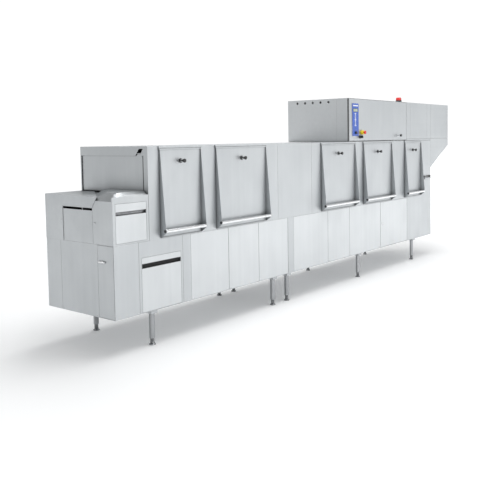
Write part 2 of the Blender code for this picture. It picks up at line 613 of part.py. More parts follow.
CAB_DOOR_S = (CABINET_START + 0.0110, CABINET_END - SHEET - 0.0030)
CAB_DOOR_Z = (CABINET_BOTTOM + 0.008, CABINET_TOP - SHEET - 0.0025)
CAB_HINGE = (CAB_DOOR_S[0] + 0.005, 0.005)
cabinet_door = tray("cabinet_door", CAB_DOOR_S, (0.0, 0.020), CAB_DOOR_Z, "w",
                    origin=(*CAB_HINGE, CAB_DOOR_Z[0]))
hinge_pins(cabinet_door, cabinet, *CAB_HINGE, *CAB_DOOR_Z, CABINET_BOTTOM + SHEET, CABINET_TOP - SHEET)
cut(cabinet_door, rod("w", CAB_LATCH, 0.0085, (-0.01, 0.01), segments=20))

cabinet_latch = turned(((0.0, 0.0520), (0.0130, 0.0515), (0.0155, 0.0480), (0.0155, 0.0360),
                        (0.0080, 0.0330), (0.0080, 0.0060), (0.0125, 0.0040), (0.0125, GAP),
                        (0.0080, GAP), (0.0080, -0.0310), (0.0, -0.0310)),
                       (CAB_LATCH[0], 0.0, CAB_LATCH[1]), "-w", "black", "cabinet_latch", steps=12)
join(cabinet_latch, box((CAB_LATCH[0], CAB_LATCH[0] + 0.051), (0.0280, 0.0308),
                        (CAB_LATCH[1] - 0.007, CAB_LATCH[1] + 0.007)))

STRIP_S = (CABINET_START + 0.068, CABINET_START + 0.195)
STRIP_Z = (CABINET_BOTTOM + 0.059, CABINET_TOP - 0.055)
STRIP_FACE = -0.0060
panel = box(STRIP_S, (STRIP_FACE, -FIT), STRIP_Z, "blue", "control_panel")
PROGRAM_KNOB = ((STRIP_S[0] + STRIP_S[1]) / 2, STRIP_Z[0] + 0.035)
cut(panel,
    box((STRIP_S[0] + 0.016, STRIP_S[1] - 0.016), (-0.01, STRIP_FACE + 0.001),
        (STRIP_Z[1] - 0.091, STRIP_Z[1] - 0.053)),
    rod("w", PROGRAM_KNOB, 0.0042, (-0.01, -0.0015), segments=16))
turned(((0.0, 0.0240), (0.0125, 0.0240), (0.0145, 0.0220), (0.0155, 0.0080), (0.0155, 0.0065),
        (0.0038, 0.0065), (0.0038, 0.0022), (0.0, 0.0022)),
       (PROGRAM_KNOB[0], 0.0, PROGRAM_KNOB[1]), "-w", "black", "program_knob", steps=14)

ESTOP = (STRIP_S[1] + 0.069, CABINET_BOTTOM + 0.097)
estop_base = rod("w", ESTOP, 0.0240, (-0.0300, -FIT), "yellow", "estop_base")
cut(estop_base, rod("w", ESTOP, 0.0085, (-0.05, -0.0030), segments=20))
turned(((0.0, 0.0560), (0.0100, 0.0550), (0.0175, 0.0520), (0.0200, 0.0470), (0.0200, 0.0430),
        (0.0150, 0.0380), (0.0080, 0.0370), (0.0080, 0.0110), (0.0, 0.0110)),
       (ESTOP[0], 0.0, ESTOP[1]), "-w", "red", "estop_button", steps=14)

MAIN_SWITCH = (STRIP_S[1] + 0.037, CABINET_BOTTOM + 0.050)
main_switch = turned(((0.0, 0.0240), (0.0110, 0.0240), (0.0120, 0.0225), (0.0140, 0.0100),
                      (0.0175, 0.0090), (0.0175, GAP), (0.0, GAP)),
                     (MAIN_SWITCH[0], 0.0, MAIN_SWITCH[1]), "-w", "black", "main_switch", steps=14)
join(main_switch, box((MAIN_SWITCH[0] - 0.004, MAIN_SWITCH[0] + 0.004), (-0.040, -0.010),
                      (MAIN_SWITCH[1] - 0.0145, MAIN_SWITCH[1] + 0.0145)))

turned(((0.0, 0.0610), (0.0150, 0.0600), (0.0260, 0.0550), (0.0320, 0.0460), (0.0330, 0.0380),
        (0.0330, 0.0250), (0.0365, 0.0240), (0.0365, FIT), (0.0, FIT)),
       (CABINET_END - 0.050, 0.080, CABINET_TOP), "z", "red", "signal_beacon", steps=16)


# ---------------------------------------------------------------- exhaust hood
HOOD_START = CABINET_END + 0.0015
HOOD_LEG = TUNNEL_END + 0.0015
hood_side = ((HOOD_START, CABINET_BOTTOM), (HOOD_LEG, CABINET_BOTTOM), (HOOD_LEG, HOOD_LOW),
             (HOOD_END, HOOD_LIP), (HOOD_END, CABINET_TOP), (HOOD_START, CABINET_TOP))
# the inside runs out through the sloping mouth and leaves a short lip beside the tunnel
LIP = 0.010
hood_inside = ((HOOD_START + SHEET, CABINET_BOTTOM + SHEET), (HOOD_LEG + SHEET, CABINET_BOTTOM + SHEET),
               (HOOD_LEG - LIP, CABINET_BOTTOM - 3 * LIP), (HOOD_LEG - LIP, HOOD_LOW - 0.1),
               (HOOD_END - SHEET, HOOD_LIP - 0.1), (HOOD_END - SHEET, CABINET_TOP - SHEET),
               (HOOD_START + SHEET, CABINET_TOP - SHEET))
exhaust = plate(hood_side, "sz", (0.0, DEPTH), "steel", "exhaust_hood")
cut(exhaust, plate(hood_inside, "sz", (SHEET, DEPTH - SHEET)))
LEDGE_Z = TUNNEL_TOP + 0.022
cut(exhaust, box((HOOD_START - 0.01, HOOD_END - 0.030), (-0.01, 0.001), (LEDGE_Z, LEDGE_Z + 0.002)))
for seam in (HOOD_START + 0.096, HOOD_LEG - 0.112, HOOD_LEG, HOOD_END - 0.055):
    cut(exhaust, box((seam - 0.001, seam + 0.001), (-0.01, 0.001),
                     (LEDGE_Z + 0.0015, CABINET_TOP - 0.010)))


# ---------------------------------------------------------------- wash system
TANK_S = (0.760, BASE_SEAM - 0.090)
TANK_W = (0.050, DEPTH - 0.050)
TANK_FLOOR = BASE_TOP - 0.355
RIM = (BASE_TOP + FIT, BASE_TOP + FIT + PANEL)
tank = box(TANK_S, TANK_W, (TANK_FLOOR, RIM[0] + 0.0015), "steel", "wash_tank")
join(tank, box((TANK_S[0] - 0.060, TANK_S[1] + 0.050), (TANK_W[0] - 0.040, TANK_W[1] + 0.040), RIM))
cut(tank, box((TANK_S[0] + PANEL, TANK_S[1] - PANEL), (TANK_W[0] + PANEL, TANK_W[1] - PANEL),
              (TANK_FLOOR + PANEL, RIM[1] + 0.01)))

PUMP_W = DEPTH / 2 - 0.020
PUMP_Z = BASE_BOTTOM + 0.082
pump = rod("s", (PUMP_W, PUMP_Z), 0.065, (1.15, 1.425), "motor", "wash_pump", segments=18)
join(pump,
     rod("s", (PUMP_W, PUMP_Z), 0.074, (1.42, 1.475), segments=18),
     box((1.19, 1.37), (PUMP_W - 0.055, PUMP_W + 0.055), (OPEN_BOTTOM + FIT, PUMP_Z - 0.025)),
     rod("z", (1.448, PUMP_W + 0.045), 0.020, (PUMP_Z, TANK_FLOOR - GAP), segments=12))


def spray_arms(name, stations):
    """Upper and lower spray tubes on two headers, fed by one riser at the rear wall."""
    middle = (stations[0] + stations[-1]) / 2
    rear = DEPTH - 0.032
    arms = rod("z", (middle, rear), 0.018, (RAIL_TOP - 0.170, TUNNEL_TOP - 0.038), "steel", name,
               segments=10)
    for z in (TUNNEL_TOP - 0.045, RAIL_TOP - 0.110):
        join(arms, rod("s", (rear, z), 0.015, (stations[0] - 0.03, stations[-1] + 0.03), segments=10))
        for s in stations:
            join(arms, rod("w", (s, z), 0.012, (0.070, rear + 0.002), segments=8))
    return arms


spray_arms("wash_arms", (1.12, 1.38, 1.64))
spray_arms("rinse_arms", (3.50, 3.74, 3.98))


# ---------------------------------------------------------------- transport
TRACK = (FLAP_S + 0.012, TUNNEL_END - 0.010)
NEAR_RAIL = 0.100
FAR_RAIL = DEPTH - 0.100
track = box(TRACK, (NEAR_RAIL, NEAR_RAIL + 0.035), (RAIL_TOP - 0.022, RAIL_TOP), "steel", "rack_track")
join(track, box(TRACK, (FAR_RAIL - 0.035, FAR_RAIL), (RAIL_TOP - 0.022, RAIL_TOP)))
join(track, box(TRACK, (NEAR_RAIL - 0.005, NEAR_RAIL + 0.001), (RAIL_TOP - 0.022, RAIL_TOP + 0.030)))
join(track, box(TRACK, (FAR_RAIL - 0.001, FAR_RAIL + 0.005), (RAIL_TOP - 0.022, RAIL_TOP + 0.030)))
for station in (0.400, 0.966, 1.800, 2.400, 3.325, 4.220, 5.040):
    join(track, box((station - 0.010, station + 0.010), (SHEET + FIT, DEPTH - SHEET - FIT),
                    (RAIL_TOP - 0.042, RAIL_TOP - 0.021)))

PAWL_PITCH = 0.500           # one rack's length
PAWLS = 9
bar = box((0.520, 4.880), (DEPTH / 2 - 0.012, DEPTH / 2 + 0.012), (RAIL_TOP - 0.018, RAIL_TOP - 0.006),
          "steel", "pawl_bar")
for index in range(PAWLS):
    s = 0.600 + PAWL_PITCH * index
    join(bar, box((s, s + 0.060), (DEPTH / 2 - 0.008, DEPTH / 2 + 0.008),
                  (RAIL_TOP - 0.007, RAIL_TOP + 0.010)))

CRANK = (4.660, DEPTH / 2)
CRANK_Z = RAIL_TOP - 0.0895
THROW = 0.100                # crank shaft to crank pin
motor = box((CRANK[0] - 0.100, CRANK[0] + 0.100), (CRANK[1] - 0.080, CRANK[1] + 0.080),
            (BASE_TOP - 0.245, BASE_TOP - 0.075), "motor", "drive_motor")
join(motor,
     box((CRANK[0] - 0.160, CRANK[0] + 0.240), (FRAME_WALL + FIT, DEPTH - FRAME_WALL - FIT),
         (BASE_TOP - 0.105, BASE_TOP - 0.097)),
     rod("z", CRANK, 0.060, (BASE_BOTTOM + 0.055, BASE_TOP - 0.240), segments=16),
     rod("z", CRANK, 0.012, (BASE_TOP - 0.080, CRANK_Z - 0.0005), segments=10))
ARM_Z = (CRANK_Z + 0.0035, CRANK_Z + 0.0155)
CRANK_PIN = (CRANK[0] + THROW, CRANK[1])
crank = rod("z", CRANK, 0.022, (CRANK_Z, ARM_Z[1]), "steel", "drive_crank", segments=14,
            origin=(*CRANK, CRANK_Z))
join(crank,
     box((CRANK[0], CRANK_PIN[0]), (CRANK[1] - 0.014, CRANK[1] + 0.014), ARM_Z),
     rod("z", CRANK_PIN, 0.0165, ARM_Z, segments=14),
     rod("z", CRANK_PIN, 0.007, (ARM_Z[1] - 0.001, ARM_Z[1] + 0.026), segments=10))
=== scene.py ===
"""Looks of a rack conveyor dishwasher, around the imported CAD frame.

Finishes for the CAD nodes, the small fittings (knobs, grips, latches, screws, controls, legs and
spray nozzles), and a plain studio with the camera. Sizes are in metres, in the frame's own axes:
+X along the transport, -Y the side with the access doors, +Z up.
"""

import json
import math

import bmesh
import bpy
from mathutils import Matrix, Vector


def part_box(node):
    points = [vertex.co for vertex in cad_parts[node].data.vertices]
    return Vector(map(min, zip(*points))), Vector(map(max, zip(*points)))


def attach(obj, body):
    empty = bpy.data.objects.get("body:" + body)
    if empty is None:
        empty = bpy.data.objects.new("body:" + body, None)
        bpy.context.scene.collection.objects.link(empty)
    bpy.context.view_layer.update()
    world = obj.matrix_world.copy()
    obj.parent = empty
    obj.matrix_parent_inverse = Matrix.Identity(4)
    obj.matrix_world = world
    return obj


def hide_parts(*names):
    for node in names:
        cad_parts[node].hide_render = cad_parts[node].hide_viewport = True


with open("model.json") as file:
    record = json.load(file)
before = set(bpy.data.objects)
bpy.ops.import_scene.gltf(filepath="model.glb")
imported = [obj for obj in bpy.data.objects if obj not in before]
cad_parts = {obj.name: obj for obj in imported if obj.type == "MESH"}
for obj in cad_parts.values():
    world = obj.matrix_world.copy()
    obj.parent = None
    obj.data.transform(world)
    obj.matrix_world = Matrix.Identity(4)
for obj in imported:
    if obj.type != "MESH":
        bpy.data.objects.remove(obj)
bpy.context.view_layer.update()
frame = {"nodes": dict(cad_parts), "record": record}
NODES = frame["nodes"]
SLOT_OF = {entry["node"]: entry["material_slot"] for entry in frame["record"]["subparts"]}

# ---------------------------------------------------------------- places read from the frame
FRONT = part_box("base_panel_1")[0].y           # plane of the front sheets
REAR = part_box("main_base_frame")[1].y
LOADING_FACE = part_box("infeed_box")[0].x
BASE_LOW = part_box("main_base_frame")[0].z
BASE_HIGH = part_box("main_base_frame")[1].z
TUNNEL_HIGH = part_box("main_tunnel_shell")[1].z
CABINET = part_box("control_cabinet")
DOOR_COUNT = 5
LEG_COUNT = 5
FLUSH = 0.0003                                # touching pieces keep this gap
OUT = {"front": Vector((0, -1, 0)), "rear": Vector((0, 1, 0)), "end": Vector((-1, 0, 0)),
       "up": Vector((0, 0, 1)), "down": Vector((0, 0, -1)), "right": Vector((1, 0, 0))}


# ---------------------------------------------------------------- mesh helpers
def turned(bm, profile, centre, direction, steps=32, ribs=0, rib_depth=0.0):
    """A profile of (radius, height) points turned about a line through centre along direction."""
    turn = Vector((0, 0, 1)).rotation_difference(direction).to_matrix().to_4x4()
    pose = Matrix.Translation(centre) @ turn
    rings = []
    for radius, height in profile:
        if radius < 1e-6:
            rings.append([bm.verts.new(pose @ Vector((0, 0, height)))])
            continue
        ring = []
        for step in range(steps):
            angle = 2 * math.pi * step / steps
            wavy = radius + rib_depth * math.cos(ribs * angle) if ribs else radius
            point = Vector((wavy * math.cos(angle), wavy * math.sin(angle), height))
            ring.append(bm.verts.new(pose @ point))
        rings.append(ring)
    for low, high in zip(rings, rings[1:]):
        for step in range(steps):
            after = (step + 1) % steps
            corners = [low[step % len(low)], low[after % len(low)],
                       high[after % len(high)], high[step % len(high)]]
            face = [v for i, v in enumerate(corners) if v not in corners[:i]]
            if len(face) > 2:
                bm.faces.new(face)


def block(bm, low, high, edge=0.0006, segments=2):
    """A box with rounded edges between two corners."""
    low, high = Vector(map(min, low, high)), Vector(map(max, low, high))
    made = bmesh.ops.create_cube(bm, size=1.0)
    for vert in made["verts"]:
        vert.co = Vector((low[i] + (vert.co[i] + 0.5) * (high[i] - low[i]) for i in range(3)))
    edges = list({e for v in made["verts"] for e in v.link_edges})
    bmesh.ops.bevel(bm, geom=edges, offset=edge, segments=segments, affect="EDGES", profile=0.6)


def ring_frame(bm, low, high, width, edge=0.0004):
    """Four strips around a rectangle in the XZ plane: a gasket or a bezel."""
    block(bm, (low.x, low.y, low.z), (low.x + width, high.y, high.z), edge)
    block(bm, (high.x - width, low.y, low.z), (high.x, high.y, high.z), edge)
    block(bm, (low.x + width, low.y, low.z), (high.x - width, high.y, low.z + width), edge)
    block(bm, (low.x + width, low.y, high.z - width), (high.x - width, high.y, high.z), edge)


SHARP = math.radians(32)        # edges bent more than this stay crisp


def piece(name, bm, finish, body, stands_for=()):
    """Makes a named mesh piece that rides on a body and shows in place of some CAD nodes."""
    bmesh.ops.recalc_face_normals(bm, faces=bm.faces)
    for face in bm.faces:
        face.smooth = True
    for edge in bm.edges:
        edge.smooth = len(edge.link_faces) == 2 and edge.calc_face_angle(0.0) < SHARP
    mesh = bpy.data.meshes.new(name)
    bm.to_mesh(mesh)
    bm.free()
    made = bpy.data.objects.new(name, mesh)
    bpy.context.scene.collection.objects.link(made)
    mesh.materials.append(finish)
    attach(made, body)
    if stands_for:
        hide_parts(*stands_for)


# ---------------------------------------------------------------- finishes
class Finish:
    """A Principled material, with short ways to add the usual nodes."""

    def __init__(self, name, metallic=0.0, coat=0.0, specular=0.5):
        self.material = bpy.data.materials.new(name)
        self.material.use_nodes = True
        self.tree = self.material.node_tree
        self.shader = self.tree.nodes["Principled BSDF"]
        self.shader.inputs["Metallic"].default_value = metallic
        self.shader.inputs["Coat Weight"].default_value = coat
        self.shader.inputs["Specular IOR Level"].default_value = specular
        self.coords = self.node("ShaderNodeTexCoord").outputs["Object"]

    def node(self, kind, **settings):
        made = self.tree.nodes.new(kind)
        for key, value in settings.items():
            setattr(made, key, value)
        return made

    def link(self, source, target):
        self.tree.links.new(source, target)

    def noise(self, scale, stretch=(1, 1, 1), detail=3.0, rough=0.55):
        mapping = self.node("ShaderNodeMapping")
        mapping.inputs["Scale"].default_value = stretch
        self.link(self.coords, mapping.inputs["Vector"])
        made = self.node("ShaderNodeTexNoise")
        made.inputs["Scale"].default_value = scale
        made.inputs["Detail"].default_value = detail
        made.inputs["Roughness"].default_value = rough
        self.link(mapping.outputs["Vector"], made.inputs["Vector"])
        return made.outputs["Fac"]

    def spread(self, source, low, high, start=0.3, end=0.7):
        made = self.node("ShaderNodeMapRange")
        made.inputs["From Min"].default_value = start
        made.inputs["From Max"].default_value = end
        made.inputs["To Min"].default_value = low
        made.inputs["To Max"].default_value = high
        self.link(source, made.inputs["Value"])
        return made.outputs["Result"]

    def math(self, operation, a, b):
        made = self.node("ShaderNodeMath", operation=operation)
        for socket, value in zip(made.inputs, (a, b)):
            if isinstance(value, (int, float)):
                socket.default_value = value
            else:
                self.link(value, socket)
        return made.outputs[0]

    def mix(self, factor, first, second):
        made = self.node("ShaderNodeMix", data_type="RGBA")
        self.link(factor, made.inputs["Factor"])
        for socket, value in ((made.inputs["A"], first), (made.inputs["B"], second)):
            if isinstance(value, tuple):
                socket.default_value = (*value, 1.0)
            else:
                self.link(value, socket)
        return made.outputs["Result"]

    def edges(self, radius):
        """Rounded edges: the normal to shade with, and a mask that is 1 along the edges, for a wear tone and,
        on the front sheets, a painted seam shadow.
        """
        bevel = self.node("ShaderNodeBevel", samples=4)
        bevel.inputs["Radius"].default_value = radius
        flat = self.node("ShaderNodeNewGeometry").outputs["Normal"]
        dot = self.node("ShaderNodeVectorMath", operation="DOT_PRODUCT")
        self.link(bevel.outputs["Normal"], dot.inputs[0])
        self.link(flat, dot.inputs[1])
        mask = self.spread(dot.outputs["Value"], 1.0, 0.0, 0.88, 0.995)
        return bevel.outputs["Normal"], mask

    def painted_recess_shade(self, source, distance, deepest):
        """Painted shade: darkens a colour inside slots and corners, where little light comes back."""
        hidden = self.node("ShaderNodeAmbientOcclusion", samples=8)
        hidden.inputs["Distance"].default_value = distance
        open_share = self.spread(hidden.outputs["AO"], 0.0, 1.0, 0.10, 0.80)
        return self.mix(open_share, deepest, source)

    def bump(self, height, strength, distance, normal=None):
        made = self.node("ShaderNodeBump")
        made.inputs["Strength"].default_value = strength
        made.inputs["Distance"].default_value = distance
        self.link(height, made.inputs["Height"])
        if normal is not None:
            self.link(normal, made.inputs["Normal"])
        self.link(made.outputs["Normal"], self.shader.inputs["Normal"])

    def colour(self, source):
        self.link(source, self.shader.inputs["Base Color"])

    def roughness(self, source):
        self.link(source, self.shader.inputs["Roughness"])


ALONG_GRAIN = 0.012             # how far the noise is drawn out along the brushing
GRAIN = {"x": (ALONG_GRAIN, 1.0, 1.0), "y": (1.0, ALONG_GRAIN, 1.0), "z": (1.0, 1.0, ALONG_GRAIN)}
WORN_STEEL = (0.80, 0.81, 0.82)
# colour of the painted shade deep in slots and corners
RECESS_SHADE_TONE = (0.055, 0.057, 0.060)
RECESS = 0.06                   # how far apart the walls of a slot may be for the painted shade to darken it


def stainless(name, grain, dark, light, rough=(0.36, 0.50), edge=0.0012, edge_wear_and_shade_tone=WORN_STEEL):
    """Brushed sheet: fine lines along the grain, soft drifts of tone, rounded edges with a wear tone, which
    on the front sheets is a dark painted seam shadow, and painted shade in slots and corners.
    """
    made = Finish(name, metallic=1.0)
    lines = made.noise(900.0, GRAIN[grain], detail=4.0, rough=0.6)
    bands = made.noise(26.0, GRAIN[grain], detail=2.0)
    drift = made.noise(1.7, detail=2.0)
    smears = made.noise(9.0, (1.0, 1.0, 0.45), detail=5.0, rough=0.62)
    normal, edge_mask = made.edges(edge)
    tone = made.math("ADD", made.spread(drift, 0.0, 0.55), made.spread(bands, 0.0, 0.22))
    tone = made.math("ADD", tone, made.spread(lines, 0.0, 0.23))
    sheet = made.mix(tone, dark, light)
    # edge tone along the edges: a lighter wear tone on most sheets, and on the front sheets a painted shadow
    # line at the seams
    sheet = made.mix(made.math("MULTIPLY", edge_mask, 0.55), sheet, edge_wear_and_shade_tone)
    # painted shade: darker in slots and corners, from ambient occlusion
    made.colour(made.painted_recess_shade(sheet, RECESS, RECESS_SHADE_TONE))
    base = made.math("ADD", made.spread(lines, rough[0], rough[1]), made.spread(smears, -0.03, 0.05))
    made.roughness(made.math("SUBTRACT", base, made.math("MULTIPLY", edge_mask, 0.10)))
    made.bump(lines, 0.06, 0.0002, normal)
    return made.material


def polished(name, grain):
    """Bright drawn tube and turned fittings, with fine draw lines and handling smudges."""
    light = (0.86, 0.87, 0.88)
    made = Finish(name, metallic=1.0)
    lines = made.noise(1400.0, GRAIN[grain], detail=3.0)
    smudges = made.noise(70.0, detail=4.0, rough=0.65)
    normal, _ = made.edges(0.0006)
    made.colour(made.mix(made.spread(smudges, 0.0, 1.0), tuple(c * 0.86 for c in light), light))
    made.roughness(made.math("ADD", made.spread(lines, 0.10, 0.20), made.spread(smudges, 0.0, 0.09)))
    made.bump(lines, 0.04, 0.0001, normal)
    return made.material


def moulded(name, base, rough, coat=0.0, pebble=900.0):
    """Moulded plastic or rubber: fine pebble, slight mottling and rubbed edges."""
    made = Finish(name, coat=coat)
    grain = made.noise(pebble, detail=2.0)
    mottle = made.noise(60.0, detail=3.0)
    normal, edge_mask = made.edges(0.0007)
    deep = tuple(c * 0.86 for c in base)
    rubbed = tuple(c * 1.25 + 0.02 for c in base)
    body = made.mix(made.spread(mottle, 0.0, 1.0), deep, base)
    made.colour(made.mix(made.math("MULTIPLY", edge_mask, 0.5), body, rubbed))
    made.roughness(made.math("ADD", made.spread(grain, *rough), made.spread(mottle, -0.03, 0.04)))
    made.bump(grain, 0.12, 0.0002, normal)
    return made.material


def castings(name, base):
    """Sprayed paint on a casting: orange peel, and bare rubbed edges."""
    bare = (0.45, 0.46, 0.47)
    made = Finish(name, coat=0.15)
    peel = made.noise(420.0, detail=2.0)
    grime = made.noise(14.0, detail=5.0, rough=0.65)
    normal, edge_mask = made.edges(0.0015)
    body = made.mix(made.spread(grime, 0.0, 1.0), tuple(c * 0.75 for c in base), base)
    made.colour(made.mix(made.math("MULTIPLY", edge_mask, 0.6), body, bare))
    made.roughness(made.spread(peel, 0.38, 0.55))
    made.bump(peel, 0.25, 0.0004, normal)
    return made.material


STEEL_DARK = (0.490, 0.510, 0.525)
STEEL_LIGHT = (0.570, 0.590, 0.602)
# dark edge tone of the front sheets: painted shadow lines along the seams
SEAM_SHADE_TONE = (0.26, 0.27, 0.28)
STEEL = {grain: stainless("brushed_sheet_" + grain, grain, STEEL_DARK, STEEL_LIGHT) for grain in "xyz"}
CABINET_STEEL = stainless("brushed_cabinet_sheet", "x", (0.63, 0.65, 0.665), (0.72, 0.74, 0.752))
# the front sheets' darkened edges are a painted shadow line at each seam
FRONT_STEEL = stainless("brushed_front_sheet", "z", (0.60, 0.62, 0.633), (0.69, 0.71, 0.722),
                        rough=(0.40, 0.54), edge=0.0030, edge_wear_and_shade_tone=SEAM_SHADE_TONE)
# drawn steel with its tone lowered as painted shade: the legs and feet stand in shade under the machine; the
# vent collars, a slot liner and the joint strip use it too
SHADED_DRAWN_STEEL = stainless("drawn_steel_painted_shade", "z", (0.30, 0.31, 0.32), (0.46, 0.47, 0.48), rough=(0.16, 0.28))
WET_STEEL = stainless("worn_inner_steel", "x", (0.52, 0.54, 0.55), (0.68, 0.70, 0.71), rough=(0.44, 0.60))
BRIGHT = {grain: polished("polished_steel_" + grain, grain) for grain in "xyz"}
BLACK = moulded("black_knob_plastic", (0.018, 0.018, 0.019), rough=(0.28, 0.42), coat=0.2)
RUBBER = moulded("black_rubber", (0.022, 0.022, 0.023), rough=(0.55, 0.75), pebble=600.0)
BLUE = moulded("blue_control_front", (0.028, 0.105, 0.50), rough=(0.24, 0.36), coat=0.35)
WHITE = moulded("white_print", (0.80, 0.82, 0.84), rough=(0.34, 0.46))
SCREEN = moulded("display_glass", (0.42, 0.48, 0.36), rough=(0.08, 0.16), coat=0.8)
YELLOW = moulded("yellow_plastic", (0.88, 0.68, 0.02), rough=(0.28, 0.40), coat=0.3)
RED = moulded("red_plastic", (0.74, 0.025, 0.02), rough=(0.22, 0.34), coat=0.5)
LENS = moulded("red_beacon_lens", (0.78, 0.02, 0.015), rough=(0.06, 0.14), coat=1.0)
PAINT = castings("grey_casting_paint", (0.20, 0.22, 0.24))

INNER = ("wash_tank", "wash_arms", "rinse_arms", "rack_track", "pawl_bar", "drive_crank")
ALONG = ("loading_tunnel_shell", "main_tunnel_shell", "exhaust_hood", "infeed_hood")
BY_SLOT = {"bright_steel": BRIGHT["x"], "black_plastic": BLACK, "blue_front": BLUE,
           "yellow_plastic": YELLOW, "red_plastic": RED, "motor_paint": PAINT}
for name, node in NODES.items():
    look = BY_SLOT.get(SLOT_OF[name], STEEL["z"])
    if name in INNER:
        look = WET_STEEL
    elif name == "control_cabinet":
        look = CABINET_STEEL
    elif name in ALONG:
        look = STEEL["x"]
    elif name.startswith(("base_panel", "base_door", "strainer_drawer", "infeed_strainer")):
        look = FRONT_STEEL
    node.data.materials.clear()
    node.data.materials.append(look)


# ---------------------------------------------------------------- access door fittings
def middle(node):
    low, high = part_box(node)
    return (low + high) / 2


def front_foot(node):
    """The point on the front's plane behind the middle of a node."""
    centre = middle(node)
    return Vector((centre.x, FRONT, centre.z))


def knob(node):
    """A black mushroom grip on a stem, standing out of the front."""
    foot = front_foot(node)
    radius = 0.0160
    reach = 0.0560                                 # top of the grip, from the front's plane
    stem_from = 0.0140                             # outer end of the bush in the door
    stem_radius = 0.0058
    tail = (0.0093, -0.0105)                       # radius and place of the head behind the door
    grip = bmesh.new()
    turned(grip, ((0.0, reach), (radius * 0.55, reach - 0.0003), (radius * 0.86, reach - 0.0022),
                  (radius * 0.985, reach - 0.0058), (radius, reach - 0.0085), (radius * 0.97, reach - 0.0120),
                  (radius * 0.86, reach - 0.0160), (radius * 0.62, reach - 0.0205),
                  (stem_radius * 1.25, reach - 0.0235), (stem_radius * 1.2, reach - 0.0250),
                  (0.0, reach - 0.0250)), foot, OUT["front"], 40)
    piece(node + "_grip", grip, BLACK, node, (node,))
    stem = bmesh.new()
    turned(stem, ((0.0, reach - 0.0253), (stem_radius * 0.96, reach - 0.0253),
                  (stem_radius * 0.96, stem_from + 0.004), (stem_radius, stem_from + 0.003),
                  (stem_radius, tail[1] + 0.0030), (tail[0], tail[1] + 0.0025), tail, (0.0, tail[1])),
           foot, OUT["front"], 28)
    piece(node + "_stem", stem, BLACK, node)


def door_fittings(number):
    """The plunger knob and its collar, the grip tube with its end plugs, the gasket and the hinge screws."""
    door = "access_door_%d" % number
    plunger = "door_knob_%d" % number
    knob(plunger)

    collar = bmesh.new()
    turned(collar, ((0.0118, 0.0046), (0.0165, 0.0046), (0.0172, 0.0054), (0.0168, 0.0096),
                    (0.0150, 0.0134), (0.0126, 0.0146), (0.0118, 0.0142), (0.0118, 0.0046)),
           front_foot(plunger), OUT["front"], 36)
    piece(plunger + "_collar", collar, BLACK, door)

    handle = "door_handle_%d" % number
    low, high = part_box(handle)
    centre = (low + high) / 2
    radius = (high.z - low.z) / 2
    plug = 0.0038                                  # thickness of an end plug
    cheek = 0.0025                                 # the door's cheek sits between plug and tube
    length = high.x - low.x
    start = plug + cheek
    pin = 0.0040                                   # radius of the pins that pass through the cheeks
    tube = bmesh.new()
    turned(tube, ((0.0, plug - 0.0005), (pin, plug - 0.0005), (pin, start + FLUSH),
                  (radius - 0.0012, start + FLUSH), (radius, start + 0.0015),
                  (radius, length - start - 0.0015), (radius - 0.0012, length - start - FLUSH),
                  (pin, length - start - FLUSH), (pin, length - plug + 0.0005),
                  (0.0, length - plug + 0.0005)),
           Vector((low.x, centre.y, centre.z)), OUT["right"], 40)
    piece(handle + "_tube", tube, BRIGHT["x"], door, (handle,))
    plugs = bmesh.new()
    for side, outward in ((low.x, OUT["end"]), (high.x, OUT["right"])):
        turned(plugs, ((0.0, 0.0), (0.0070, -0.0001), (0.0105, -0.0008), (0.0120, -0.0022),
                       (0.0121, FLUSH - plug), (0.0, FLUSH - plug)),
               Vector((side, centre.y, centre.z)), outward, 32)
    piece(handle + "_plugs", plugs, BLACK, door)

    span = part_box(door)
    gasket = bmesh.new()
    ring_frame(gasket, Vector((span[0].x + 0.0085, FRONT - 0.0010, BASE_HIGH + 0.0165)),
               Vector((span[1].x - 0.0085, FRONT - FLUSH, TUNNEL_HIGH - 0.0330)), 0.0065, edge=0.0002)
    piece("door_gasket_%d" % number, gasket, RUBBER, "machine")

    bolts = bmesh.new()
    for x in (span[0].x + 0.045, span[1].x - 0.045):
        screw(bolts, Vector((x, FRONT - 0.0080, TUNNEL_HIGH - 0.0075)), OUT["front"], 0.0028, 0.0014)
    piece("hinge_strip_screws_%d" % number, bolts, BRIGHT["y"], "machine")


def screw(bm, centre, direction, radius=0.0042, height=0.0022):
    """A button-head screw with a socket in it."""
    socket = radius * 0.42
    turned(bm, ((0.0, height * 0.35), (socket, height * 0.35), (socket * 1.06, height),
                (radius * 0.62, height * 0.96), (radius * 0.88, height * 0.66), (radius, height * 0.22),
                (radius, FLUSH), (0.0, FLUSH)), centre, direction, 16)


for number in range(1, DOOR_COUNT + 1):
    door_fittings(number)


# ---------------------------------------------------------------- seals, and the dark seam strips and slot liners that paint shade
BEAD = 0.0009            # half the width of a bead: the grooves are 2 mm wide and 1 mm deep
BEAD_SKIN = 0.0001       # how far a bead's face lies below the sheet's, and its foot
BEAD_FOOT = 0.0008


def front_bead(bm, x, low, high):
    block(bm, (x - BEAD, FRONT + BEAD_SKIN, low), (x + BEAD, FRONT + BEAD_FOOT, high), 0.0003, 1)


def end_bead(bm, y, low, high):
    block(bm, (LOADING_FACE + BEAD_SKIN, y - BEAD, low), (LOADING_FACE + BEAD_FOOT, y + BEAD, high),
          0.0003, 1)


